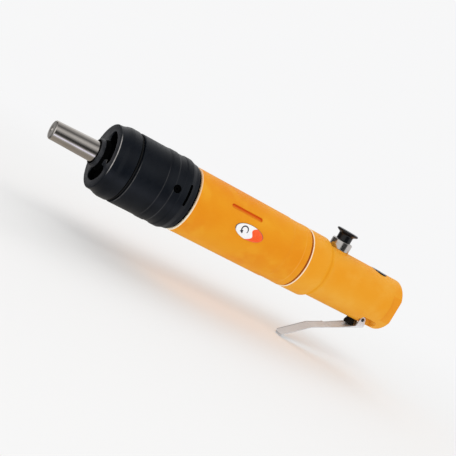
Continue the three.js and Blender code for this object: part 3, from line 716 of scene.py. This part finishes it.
def build_front_cap():
    cap = turned("front_cap_skin", [
        (36.4, 21.45), (36.4, 23.75), (50.2, 23.75, 0.12), (50.2, 25.2, 0.1), (50.6, 25.62, 0.25),
        (55.9, 25.65, 2.5), (57.9, 25.22, 2.5), (60.4, 24.22, 2.5), (62.2, 23.82, 1.0),
        (64.75, 23.65, 0.10), (65.15, 23.35, 0.12), (65.55, 18.7, 0), (66.5, 10.3, 0.15),
        (69.4, 10.3, 0.25), (71.2, 9.7, 0.45), (71.3, 8.1, 0.15), (61.3, 8.1), (61.3, 14.1),
        (48.2, 14.1), (48.2, 16.6), (62.2, 16.6), (62.2, 21.45)],
        corner=0.2, step=2.5, segments=BODY_SEGMENTS)
    # (x, growth of the outline): the ports flare toward the front face
    flare = ((61.75, 0.0), (64.9, 0.0), (65.3, 0.08), (65.7, 0.22), (66.2, 0.34), (71.5, 0.36))
    # (start roll, end roll, outer radius)
    for start, end, outer in ((-7.0, 101.0, 18.7), (-118.0, -19.0, 18.0)):
        carve(cap, [(kidney(start, end, 10.75, outer, grow), x) for x, grow in flare], front_view)
    ship(cap, "casing", "cap_black", "front_cap", angle=32)


def build_cap_o_ring():
    angles = [2 * pi * k / 20 for k in range(20)]
    ring = revolve("cap_o_ring_skin", [(48.9 + 0.68 * cos(t), 24.22 + 0.45 * sin(t))
                                       for t in angles], along_x(), BODY_SEGMENTS)
    ship(ring, "casing", "black_rubber", "cap_o_ring")


def build_nose_seal():
    seal = turned("nose_seal_skin", [
        (59.5, 7.75), (59.5, 13.7), (61.1, 13.7), (61.1, 12.2), (60.3, 11.2), (60.3, 9.2),
        (61.1, 7.75)], corner=0.2, step=4)
    ship(seal, "casing", "black_rubber", "nose_seal")


def wrapped_slot(x0, start, end, half, bottom, top):
    """Round-ended groove running round the body at x0, from roll start to roll end."""
    side_steps, end_steps = 24, 10
    end_angle = math.degrees(half / ((bottom + top) / 2))
    run = end - start - 2 * end_angle
    outline = []                     # (x offset, roll in degrees)
    for k in range(end_steps + 1):
        t = pi * k / end_steps
        outline.append((half * cos(t), end - end_angle + end_angle * sin(t)))
    for k in range(1, side_steps):
        outline.append((-half, end - end_angle - run * k / side_steps))
    for k in range(end_steps + 1):
        t = pi + pi * k / end_steps
        outline.append((half * cos(t), start + end_angle + end_angle * sin(t)))
    for k in range(1, side_steps):
        outline.append((half, start + end_angle + run * k / side_steps))
    sections = [([(u * widen, roll) for u, roll in outline], radius)
                for radius, widen in ((bottom, 1.0), (bottom + 0.5, 1.0), (top, 1.25))]
    return loft("tool", sections, lambda u, roll, radius: (
        x0 + u, radius * cos(radians(roll)), radius * sin(radians(roll))))


def build_gear_case():
    case = turned("gear_case_skin", [
        (-2.6, 7.0), (-2.6, 20.4), (0.45, 20.4), (0.45, 23.2, 0.12), (1.72, 23.35, 0.1),
        (2.1, 24.4, 0.22), (5.0, 24.8, 2.0), (8.5, 26.08, 1.6), (13.0, 26.08, 0.6),
        (13.8, 25.6, 0.6), (19.0, 25.6, 0.8), (20.0, 25.98, 0.6), (25.0, 25.98, 1.0),
        (27.0, 25.6, 1.5), (47.15, 25.6, 0.25), (47.6, 25.1, 0.2), (47.6, 23.95), (36.0, 23.95),
        (36.0, 22.6), (4.0, 22.6), (4.0, 7.0)], corner=0.2, step=2.5, segments=BODY_SEGMENTS)
    # flared hole for the lock screw
    bore(case, [(20, 0), (20, 2.4), (24.85, 2.4), (25.05, 2.85), (25.45, 3.0), (27.5, 4.2),
                (27.5, 0)], radial(LOCK_X, LOCK_ROLL), 48)
    # four holes in the rear wall
    pitch_radius = 13.6
    for i in range(4):
        angle = radians(45 + 90 * i)
        drill(case, along_x(pitch_radius * cos(angle), pitch_radius * sin(angle)),
              start=-3.5, end=5, radius=2.0, segments=32)
    boolean(case, wrapped_slot(7.8, start=-5.0, end=30.5, half=1.02, bottom=24.3, top=27.5))
    ship(case, "casing", "case_black", "gear_case", angle=32)


def build_lock_screw():
    screw = turned("ring_lock_screw_skin", [
        (22.7, 0), (22.7, 2.1), (24.6, 2.1, 0.3), (24.6, 0)], corner=0.12, step=3,
        place=radial(LOCK_X, LOCK_ROLL), segments=48)
    carve(screw, prism(hexagon(1.02, turn=10), 23.5, 26), rolled_view(LOCK_X, LOCK_ROLL))
    ship(screw, "casing", "case_black", "ring_lock_screw")


# ---------------------------------------------------------------- motor housing and badge
def build_motor_housing():
    housing = turned("motor_housing_skin", [
        (-0.1, 20.7), (-0.1, 23.42, 0.15), (-0.72, HOUSING_RADIUS, 0.25),
        (-82.0, HOUSING_RADIUS, 1.5), (-84.0, 23.72, 1.5), (-94.3, 23.7, 0.4),
        (-94.9, 23.92, 0.25), (-99.8, 23.92, 0.3), (-100.2, 23.5, 0.2), (-100.2, 21.3),
        (-85.7, 21.3), (-85.7, 20.7)], corner=0.2, step=3.0, segments=224)
    # (distance from the axis, half width) of the groove on the upper side
    groove = ((22.42, 1.00), (22.58, 1.30), (22.9, 1.50), (23.65, 1.60), (23.9, 1.74),
              (24.12, 2.0), (26.0, 4.0))
    carve(housing, [(capsule(-52.3, -28.7, half), height) for height, half in groove],
          rolled_view(0, 35.5))
    ship(housing, "casing", "housing_yellow", "motor_housing", angle=32)


PLATE_X, PLATE_ROLL = -47.0, 6.1                    # centre of the badge plate
PLATE_HALF_LENGTH, PLATE_HALF_HEIGHT = 11.9, 5.4
PLATE_CURVE = 24.3                                  # radius the plate is wrapped on
PLATE_SEGMENTS = 112
# (radius from the spindle axis, share of the plate's half size), top centre to bottom centre
PLATE_LEVELS = [
    (24.58, 0.0), (24.578, 0.2), (24.57, 0.4), (24.555, 0.6), (24.54, 0.78), (24.52, 0.9),
    (24.49, 0.955), (24.42, 0.985), (24.30, 1.0), (24.14, 0.998), (24.08, 0.985), (24.075, 0.6),
    (24.075, 0.0)]


def on_plate(u, v, radius):
    """Plate point: u along the tool and v round it in millimetres."""
    roll = radians(PLATE_ROLL) + math.asin(v / PLATE_CURVE)
    return (PLATE_X + u, radius * cos(roll), radius * sin(roll))


def build_badge_plate():
    badge = revolve("badge_plate_skin", PLATE_LEVELS, lambda radius, share, t: on_plate(
        PLATE_HALF_LENGTH * share * cos(t), PLATE_HALF_HEIGHT * share * sin(t), radius),
        PLATE_SEGMENTS)
    plate_uv = []
    for _, share in PLATE_LEVELS:
        for k in range(PLATE_SEGMENTS if share else 1):
            t = 2 * pi * k / PLATE_SEGMENTS
            plate_uv.append((share * cos(t), share * sin(t), 0))
    attribute = badge.data.attributes.new("plate_uv", "FLOAT_VECTOR", "POINT")
    attribute.data.foreach_set("vector", np.array(plate_uv, np.float32).ravel())
    ship(badge, "casing", "badge_enamel", "badge_plate", angle=40)


def build_badge_arrow():
    """A plain turning arrow on the plate."""
    centre_u, centre_v, radius, half_width = 4.3, 0.4, 2.6, 0.40
    start, sweep, steps = 215, 245, 32              # degrees, turning clockwise
    bottom, top = 24.50, 24.70
    outer, inner = [], []
    for k in range(steps + 1):
        t = radians(start - sweep * k / steps)
        half = half_width * (0.35 + 0.65 * min(1, k / 8))
        for side, r in ((outer, radius + half), (inner, radius - half)):
            side.append((centre_u + r * cos(t), centre_v + r * sin(t)))
    verts = [on_plate(u, v, height) for height in (bottom, top) for u, v in outer + inner]
    n = len(outer)
    faces = []
    for k in range(n - 1):
        faces.append((k, k + 1, n + k + 1, n + k))
        faces.append((2 * n + k, 3 * n + k, 3 * n + k + 1, 2 * n + k + 1))
        faces.append((k, 2 * n + k, 2 * n + k + 1, k + 1))
        faces.append((n + k, n + k + 1, 3 * n + k + 1, 3 * n + k))
    faces += [(0, n, 3 * n, 2 * n), (n - 1, 3 * n - 1, 4 * n - 1, 2 * n - 1)]
    arrow = mesh_object("badge_arrow", verts, faces, weld=False)

    t = radians(start - sweep)

    def head_point(out, ahead):
        return (centre_u + (radius + out) * cos(t) + ahead * sin(t),
                centre_v + (radius + out) * sin(t) - ahead * cos(t))

    head = [head_point(1.35, 0), head_point(-1.35, 0), head_point(-0.35, 2.3)]
    carve(arrow, prism(head, bottom, top), on_plate, "UNION")
    ship(arrow, "casing", "badge_enamel", material=INK, angle=25)


# ---------------------------------------------------------------- handle
def build_handle():
    handle = turned("handle_skin", [
        (-86.1, 0), (-86.1, 20.9), (-87.0, 20.9), (-87.0, 19.4), (-89.2, 19.4), (-89.2, 20.9),
        (-101.7, 20.9, 0.15), (-101.7, 23.3, 0.12), (-102.35, 23.92, 0.2), (-119.2, 23.92, 3.0),
        (-123.2, 21.2, 3.0), (-126.6, 21.0, 3.0), (-196.0, 21.0, 1.25), (-196.0, 0)],
        corner=0.2, step=2.5, segments=224)
    # flats at the back end
    for y0, y1 in ((FLAT_Y, 30.0), (-30.0, -FLAT_Y)):
        flat = [(-201.0, y0), (-186.8, y0), (-186.8, y1), (-201.0, y1)]
        carve(handle, prism(flat, -30.0, 30.0), plan_view)
    # front chamber and rear socket on the axis
    drill(handle, along_x(), -112, -80, 13.0, 96)
    bore(handle, [(-210, 0), (-210, 11.4), (-196.0, 10.25), (-195.4, 9.8), (-186.0, 9.8),
                  (-186.0, 8.2), (-182.8, 8.2), (-182.8, 0)], along_x(), 96)
    # lengthwise passages between the socket, the two cross bores and the front chamber
    for z, start, end, radius in ((3, -186, VALVE_X, 3.6), (-8.4, VALVE_X, BUTTON_X, 2.5),
                                  (4.8, BUTTON_X, -110, 2.3), (-3.5, BUTTON_X, -110, 2.3)):
        drill(handle, along_x(z0=z), start, end, radius, 32)
    # upright bores: reverse button, throttle valve, lever plunger
    bore(handle, lathe_profile([(-16.6, 0), (-16.6, 6.0), (8.0, 6.0), (8.0, 7.7), (30, 7.7),
                                (30, 0)], 0.0, 50), along_z(BUTTON_X), 96)
    bore(handle, [(-11.3, 0), (-11.3, 3.0), (-6.0, 3.0), (-6.0, 5.3), (12.2, 5.3), (12.2, 7.15),
                  (20.2, 7.15), (20.9, 7.6), (30, 10.0), (30, 0)], along_z(VALVE_X), 96)
    bore(handle, [(-30, 0), (-30, 4.45), (-15.8, 4.45), (-15.8, 3.6), (-11.2, 3.6), (-11.2, 0)],
         along_z(VALVE_X), 64)
    # cuts on both sides of the central rib that holds the lever pin; (x, z, corner radius)
    rib_half = 4.75
    side = rounded([(-173.4, -30, 0), (-174.6, -14.0, 1.0), (-187.3, -14.0, 2.2),
                    (-190.0, -17.2, 2.4), (-190.0, -30, 0)], 0.5, 12)
    for y0, y1 in ((-30.0, -rib_half), (rib_half, 30.0)):
        carve(handle, prism(side, y0, y1), side_view)
    drill(handle, along_y(PIN_X, PIN_Z), -10, 10, 1.4, 32)
    ship(handle, "casing", "handle_yellow", "handle", angle=32)

    boss = turned("handle_boss_skin", [
        (15.5, 7.72), (15.5, 8.45), (21.0, 8.45, 0.3), (21.0, 7.72)], corner=0.1, step=2.0,
        place=along_z(BUTTON_X))
    ship(boss, "casing", "handle_yellow", "handle", angle=32)


def build_inlet_bushing():
    back, front, bore_radius = -195.9, -186.3, 6.4
    steps = 76
    pitch, depth, fade = 1.411, 0.62, 1.3

    def thread(a, r, t):
        """Internal pipe thread, fading out at both ends."""
        if r > 6.9:
            return r
        phase = ((a / pitch) - t / (2 * pi)) % 1.0
        height = 1 - abs(2 * phase - 1)
        fade_back = max(0.0, min(1.0, (a + 196.2) / fade))
        fade_front = max(0.0, min(1.0, (-187.2 - a) / fade))
        return r + depth * height * fade_back * fade_front

    profile = [(-196.3, 6.95), (-196.3, 9.05), (-196.05, 9.3), (-195.7, 9.6), (-186.5, 9.6),
               (front, 9.45), (front, 6.5)]
    profile += [(front - (front - back) * k / steps, bore_radius) for k in range(1, steps + 1)]
    inlet = revolve("inlet_bushing_skin", profile, along_x(), 96, thread)
    ship(inlet, "casing", "machined_steel", "inlet_bushing", angle=40)


def add_wire(verts, faces, path, radius, sides=6):
    start = len(verts)
    for i, point in enumerate(path):
        heading = Vector(path[min(i + 1, len(path) - 1)]) - Vector(path[max(i - 1, 0)])
        heading.normalize()
        side = heading.cross(Vector((1, 0, 0))).normalized()
        up = side.cross(heading).normalized()
        for k in range(sides):
            t = 2 * pi * k / sides
            verts.append(tuple(Vector(point) + side * (radius * cos(t)) + up * (radius * sin(t))))
    faces += tube_faces(len(path), sides, start)


def build_inlet_screen():
    """Woven wire screen held in a thin ring."""
    pitch, wire_radius, screen_radius, screen_x = 1.15, 0.16, 7.45, -185.2
    verts, faces = [], []
    for i in range(-6, 7):
        across = i * pitch
        half = math.sqrt(max(0.0, screen_radius ** 2 - across * across))
        steps = max(8, int(half * 2 / 0.29))
        for upright, flip in ((True, 1), (False, -1)):
            path = []
            for k in range(steps + 1):
                s = -half + 2 * half * k / steps
                x = screen_x + flip * wire_radius * 0.95 * cos(pi * (s / pitch + i))
                path.append((x, across, s) if upright else (x, s, across))
            add_wire(verts, faces, path, wire_radius)
    screen = mesh_object("inlet_screen_mesh", verts, faces, weld=False)
    ship(screen, "casing", "brass", "inlet_screen", angle=50)
    rim = turned("inlet_screen_ring", [
        (-185.7, 7.1), (-185.7, 8.0), (-184.7, 8.0), (-184.7, 7.1)], corner=0.2, step=3,
        segments=96)
    ship(rim, "casing", "brass", "inlet_screen")


# ---------------------------------------------------------------- reverse valve
def build_reverse_valve():
    bush = turned("reverse_bush_skin", [
        (8.2, 6.0), (8.2, 7.45), (21.12, 7.45), (21.12, 8.2, 0.3), (27.5, 8.2, 0.45),
        (28.15, 7.5, 0.3), (28.15, 6.45, 0.15), (27.7, 6.0, 0.1)], corner=0.2, step=2.0,
        place=along_z(BUTTON_X), segments=160)
    ship(bush, "casing", "machined_steel", "reverse_bush")
    button = turned("reverse_button_skin", [
        (-9.0, 0), (-9.0, 2.3), (-7.2, 2.3), (-7.2, 5.75), (-2.6, 5.75), (-2.2, 3.6), (1.6, 3.6),
        (2.0, 5.75), (33.2, 5.75, 1.2), (34.35, 8.15, 0.4), (34.8, 8.68, 0.3),
        (35.75, 8.62, 0.35), (36.12, 7.6, 0.5), (36.18, 3.0, 2.0), (36.18, 0)],
        corner=0.2, step=2.5, place=along_z(BUTTON_X))
    ship(button, "reverse_spool", "black_plastic", "reverse_button")


# ---------------------------------------------------------------- throttle and lever
# (x, z) of the lever's lower face: rear end, bend, and start of the rounded front end
HEEL = np.array((-186.4, -23.4))
BEND = np.array((-145.6, -41.25))
TIP = np.array((-129.5, -53.64))


def build_throttle_plug():
    plug = turned("throttle_plug_skin", [
        (12.5, 0), (12.5, 6.9), (20.6, 6.9, 0.35), (20.95, 6.5, 0.35), (20.95, 0)],
        corner=0.2, step=3, place=along_z(VALVE_X))
    carve(plug, prism([(VALVE_X + u, v) for u, v in hexagon(2.35)], 18.4, 22), plan_view)
    ship(plug, "casing", "black_plastic", "throttle_plug")


def build_lever_plunger():
    plunger = turned("lever_plunger_skin", [
        (-26.3, 0), (-26.2, 3.5, 0.5), (-25.4, 4.2, 0.5), (-24.5, 4.2, 0.4), (-20.9, 2.9, 0.8),
        (-19.2, 2.9), (-19.2, 0)], corner=0.3, step=1.5, place=along_z(VALVE_X), segments=96)
    # the foot is cut parallel to the lever
    slope = (BEND[1] - HEEL[1]) / (BEND[0] - HEEL[0])
    back, front, above_lever = -186.0, -165.0, 1.53
    foot = [(x, HEEL[1] + above_lever + slope * (x - HEEL[0])) for x in (back, front)]
    carve(plunger, prism(foot + [(front, -40.0), (back, -40.0)], -9.0, 9.0), side_view)
    ship(plunger, "throttle_stem", "black_rubber", "lever_plunger")


SHEET = 1.25                         # thickness of the lever's floor
HALF_WIDTH = 6.2
FRONT_LENGTH = 6.15                  # from TIP to the end of the lever


def lever_path():
    """(point, upward normal) stations along the lower face, and the front end point."""
    bend_radius = 5.5
    rear = (BEND - HEEL) / np.linalg.norm(BEND - HEEL)
    front = (TIP - BEND) / np.linalg.norm(TIP - BEND)
    rear_up, front_up = np.array((-rear[1], rear[0])), np.array((-front[1], front[0]))
    end = TIP + front * FRONT_LENGTH
    turn = math.acos(float(rear @ front))
    tangent = bend_radius * math.tan(turn / 2)
    start = HEEL - rear * 4
    rear_length = np.linalg.norm(BEND - rear * tangent - start)
    path = [(start + rear * rear_length * k / 44, rear_up) for k in range(44)]
    centre = BEND - rear * tangent - rear_up * bend_radius
    for k in range(13):
        angle = turn * k / 12
        up = rear_up * cos(angle) + rear * sin(angle)
        path.append((centre + up * bend_radius, up))
    front_length = np.linalg.norm(end - (BEND + front * tangent))
    path += [(BEND + front * (tangent + front_length * k / 24), front_up) for k in range(1, 25)]
    return path, end


def lever_section():
    """Channel section as (y, height above the lower face)."""
    outer_radius, inner_radius, height = 1.9, 0.75, 12.0
    inner_half = HALF_WIDTH - 1.2                   # side walls are 1.2 thick

    def mirrored(points):
        return [(-y, z) for y, z in reversed(points)]

    outer_half = [(HALF_WIDTH, height - (height - outer_radius) * k / 4) for k in range(4)]
    for k in range(9):
        t = -radians(90) * k / 8
        outer_half.append((HALF_WIDTH - outer_radius + outer_radius * cos(t),
                           outer_radius + outer_radius * sin(t)))
    inner_points = []
    for k in range(7):
        t = -radians(90) * (1 - k / 6)
        inner_points.append((inner_half - inner_radius + inner_radius * cos(t),
                             SHEET + inner_radius + inner_radius * sin(t)))
    inner_points.append((inner_half, height))
    under, floor_half = HALF_WIDTH - outer_radius, inner_half - inner_radius
    return (outer_half + [(under - 2 * under * k / 6, 0.0) for k in range(1, 6)]
            + mirrored(outer_half) + mirrored(inner_points)
            + [(-floor_half + 2 * floor_half * k / 6, SHEET) for k in range(1, 6)]
            + inner_points)


def lever_side(path, end):
    """Side outline in (x, z): ears round the pin, walls, then just under the floor's top face."""
    ear = [(PIN_X - 2.5 * cos(radians(a)), PIN_Z + 2.5 * sin(radians(a)), 0)
           for a in range(-4, 136, 10)]
    below = [(*(p - up * 1.5), 0) for p, up in path if p[0] > -187.5]
    above = [(*(p + up * (SHEET - 0.03)), 0) for p, up in path if p[0] > -157.5]
    outline = [(-188.3, -25.5, 0), (-187.15, -25.9, 0), (-185.5, -20.3, 0.8)] + ear
    outline += [(-179.6, -19.2, 0.6), (-179.2, -24.6, 1.6), (-159.6, -34.3, 1.0),
                (above[0][0] - 0.6, above[0][1] + 0.55, 0.6)]
    outline += above + [(end[0] + 4, end[1] - 1, 0), (end[0] + 3, end[1] - 6, 0)]
    return rounded(outline + below[::-1], 0.0, 12)


def lever_plan(end):
    """Plan outline in (x, y) with a squarish round front end."""
    shoulder, power = TIP[0] + 0.2, 0.62
    length = end[0] - TIP[0] - 0.2
    outline = [(-200.0, -7.5), (shoulder, -7.5), (shoulder, -HALF_WIDTH)]
    for i in range(1, 36):
        c, s = cos(radians(5 * i)), sin(radians(5 * i))
        outline.append((shoulder + length * s ** power,
                        -HALF_WIDTH * math.copysign(abs(c) ** power, c)))
    return outline + [(shoulder, HALF_WIDTH), (shoulder, 7.5), (-200.0, 7.5)]


def build_lever():
    path, end = lever_path()
    section = lever_section()
    verts = []
    for point, up in path:
        for y, height in section:
            x, z = point + up * height
            verts.append((x, y, z))
    lever = mesh_object("lever_skin", verts, tube_faces(len(path), len(section)))
    carve(lever, prism(lever_side(path, end), -9.0, 9.0), side_view, "INTERSECT")
    carve(lever, prism(lever_plan(end), -70.0, -10.0), plan_view, "INTERSECT")
    drill(lever, along_y(PIN_X, PIN_Z), -10, 10, 1.5, 40)
    bevel_edges(lever, width=0.14, segments=2, angle=40)
    ship(lever, "lever_arm", "lever_steel", "lever")

    pin = turned("lever_pin_skin", [
        (-6.7, 0), (-6.7, 1.3, 0.35), (6.7, 1.3, 0.35), (6.7, 0)], corner=0.3, step=4,
        place=along_y(PIN_X, PIN_Z), segments=48)
    ship(pin, "casing", "dark_steel", "lever_pin")


# ---------------------------------------------------------------- springs
def build_spring(name, x0, low, high, radius, turns):
    """Upright coil of wire round x0, from low to high."""
    wire, sides = 0.42, 10
    total = turns + 1.4
    dead_end = 0.7 / total           # share of the wire in each nearly closed end turn
    steps = int(total * 30)
    verts = []
    for k in range(steps + 1):
        u = k / steps
        t = 2 * pi * total * u
        rise = max(0.0, min(1.0, (u - dead_end) / (1 - 2 * dead_end)))
        rise = 0.015 * u + 0.985 * rise
        z = low + wire + (high - low - 2 * wire) * rise
        for j in range(sides):
            q = 2 * pi * j / sides
            reach = radius + wire * cos(q)
            verts.append((x0 + reach * cos(t), reach * sin(t), z + wire * sin(q)))
    spring = mesh_object(name + "_skin", verts, tube_faces(steps + 1, sides), weld=False)
    ship(spring, "casing", "machined_steel", name, angle=40)
    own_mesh(spring)


# ---------------------------------------------------------------- floor
PALE = (0.93, 0.93, 0.935)


def build_floor():
    """Pale disc that fades into the backdrop and is clear from underneath."""
    bm = bmesh.new()
    bmesh.ops.create_circle(bm, cap_ends=True, segments=96, radius=9.0)
    mesh = bpy.data.meshes.new("floor")
    bm.to_mesh(mesh)
    bm.free()
    floor = bpy.data.objects.new("floor", mesh)
    scene.collection.objects.link(floor)
    floor.location = (0, 0, -0.0004)

    material = bpy.data.materials.new("floor_pale")
    g = Graph(material)
    place = g.node("TexCoord").outputs["Object"]
    distance = g.node("VectorMath", {0: place}, operation="LENGTH").outputs["Value"]
    fade = g.ease(distance, (0.16, 0.75))           # metres from the scene origin
    noise = g.node("TexNoise", {"Scale": 3.0, "Vector": place}).outputs[0]
    color = g.mix(noise, (0.76, 0.76, 0.76), (0.775, 0.772, 0.77))
    diffuse = g.node("BsdfDiffuse", {"Color": color}).outputs[0]
    glow = g.node("Emission", {"Color": PALE}).outputs[0]
    pale = g.node("MixShader", {0: fade, 1: diffuse, 2: glow}).outputs[0]
    underneath = g.node("NewGeometry").outputs["Backfacing"]
    clear = g.node("BsdfTransparent").outputs[0]
    surface = g.node("MixShader", {0: underneath, 1: pale, 2: clear}).outputs[0]
    g.node("OutputMaterial", {0: surface})
    floor.data.materials.append(material)
    floor.visible_glossy = False
    floor.visible_diffuse = False
    floor.visible_shadow = False


# ---------------------------------------------------------------- light
# Brightness by direction round the x axis: (degrees, grey or colour).
# 0 is the +y side, the one the camera is on, and 90 is above.
SIDE_MIRRORED = [
    (-180, 0.42), (-150, (0.40, 0.375, 0.34)), (-120, (0.40, 0.37, 0.33)),
    (-85, (0.36, 0.33, 0.29)), (-62, (0.36, 0.34, 0.31)), (-48, 0.62), (-37, (1.28, 1.30, 1.62)),
    (-27, 0.55), (-17, 0.10), (-5, 0.03), (6, 0.06), (18, 0.30), (32, 0.58), (44, 0.66),
    (58, 0.44), (72, 0.16), (84, 0.17), (100, 0.38), (120, 0.55), (138, 0.84), (165, 0.86),
    (180, 0.42)]
FRONT_MIRRORED = [
    (-180, 0.06), (-120, 0.12), (-80, 0.30), (-45, 0.62), (-15, 0.75), (10, 0.80), (40, 0.95),
    (75, 0.60), (110, 0.26), (150, 0.08), (180, 0.06)]
DIFFUSE_LIGHT = [
    (-180, 0.92), (-100, 1.10), (-55, 1.28), (-10, 0.90), (15, 0.84), (55, 1.02), (100, 1.00),
    (150, 0.90), (180, 0.92)]
REAR_MIRRORED = (0.78, 0.77, 0.78)


def build_world():
    """Separate surroundings for mirrored rays, other lighting rays and the camera's view."""
    world = bpy.data.worlds.new("studio")
    scene.world = world
    g = Graph(world)
    direction = g.node("TexCoord").outputs["Generated"]
    x, y, z = g.node("SeparateXYZ", {0: direction}).outputs
    angle = g.node("Math", {0: z, 1: y}, operation="ARCTAN2").outputs[0]
    position = g.node("Math", {0: angle, 1: 1 / (2 * pi), 2: 0.5},
                      operation="MULTIPLY_ADD").outputs[0]

    def ramp(stops):
        node = g.node("ValToRGB", {0: position})
        node.color_ramp.interpolation = "EASE"
        elements = node.color_ramp.elements
        while len(elements) > 1:
            elements.remove(elements[-1])
        for i, (degrees, shade_) in enumerate(stops):
            at = degrees / 360 + 0.5
            stop = elements.new(at) if i else elements[0]
            stop.position = at
            stop.color = (*(shade_ if isinstance(shade_, tuple) else (shade_,) * 3), 1)
        return node.outputs[0]

    side, front = ramp(SIDE_MIRRORED), ramp(FRONT_MIRRORED)
    mirrored = g.mix(g.ease(x, (0.20, 0.44)), side, front)
    mirrored = g.mix(g.ease(x, (-0.54, -0.72)), mirrored, REAR_MIRRORED)
    diffuse = ramp(DIFFUSE_LIGHT)
    ray = g.node("LightPath").outputs
    color = g.mix(ray["Is Glossy Ray"], diffuse, mirrored)
    color = g.mix(ray["Is Camera Ray"], color, PALE)
    background = g.node("Background", {0: color, 1: 1.0})
    g.node("OutputWorld", {0: background.outputs[0]})


def softbox(name, place, size, power, color):
    """Rectangular light in metres and watts, aimed at the tool and unseen in mirrors."""
    light = bpy.data.lights.new(name, "AREA")
    light.shape, light.energy, light.color = "RECTANGLE", power, color
    light.size, light.size_y = size
    obj = bpy.data.objects.new(name, light)
    scene.collection.objects.link(obj)
    obj.location = place
    obj.rotation_mode = "QUATERNION"
    aim = Vector((0, 0, 0.05)) - Vector(place)
    obj.rotation_quaternion = aim.to_track_quat("-Z", "Y")
    obj.visible_camera = False
    obj.visible_glossy = False


# ---------------------------------------------------------------- camera
def build_camera():
    camera = bpy.data.objects.new("camera", bpy.data.cameras.new("camera"))
    scene.collection.objects.link(camera)
    # the camera's own axes in the scene
    right = (-0.7864873993445, 0.3576540501475, 0.5035088391334)
    up = (0.4123777238150, -0.3027937951510, 0.8592208857560)
    back = (0.4597631820552, 0.8834022289032, 0.0906549413729)
    rotation = Matrix((right, up, back)).transposed()
    place = (0.33099549954, 0.63105905991, 0.1181884518)
    camera.matrix_world = Matrix.Translation(place) @ rotation.to_4x4()
    camera.data.sensor_width = 36.0
    camera.data.lens = 78.94677705
    camera.data.shift_x, camera.data.shift_y = -0.00109649123, 0.00109649123
    camera.data.clip_start, camera.data.clip_end = 0.01, 50
    scene.camera = camera


# ---------------------------------------------------------------- build
finish_cad_nodes()
build_spindle()
build_front_cap()
build_cap_o_ring()
build_nose_seal()
build_gear_case()
build_lock_screw()
build_motor_housing()
build_badge_plate()
build_badge_arrow()
build_handle()
build_inlet_bushing()
build_inlet_screen()
build_reverse_valve()
build_throttle_plug()
build_lever_plunger()
build_lever()
build_spring("reverse_spring", BUTTON_X, low=-16.2, high=-7.5, radius=3.3, turns=4)
build_spring("throttle_spring", VALVE_X, low=-1.0, high=12.2, radius=3.2, turns=5)
build_floor()
build_world()
softbox("key", (0.35, 0.95, 1.15), size=(0.9, 0.7), power=4.5, color=(1.0, 0.985, 0.96))
softbox("rim", (-0.5, -0.9, 0.9), size=(0.9, 0.5), power=2.5, color=(0.97, 0.985, 1.0))
build_camera()

scene.view_settings.view_transform = "Standard"
scene.view_settings.look = "None"
scene.view_settings.exposure = 0.0
scene.view_settings.gamma = 1.0
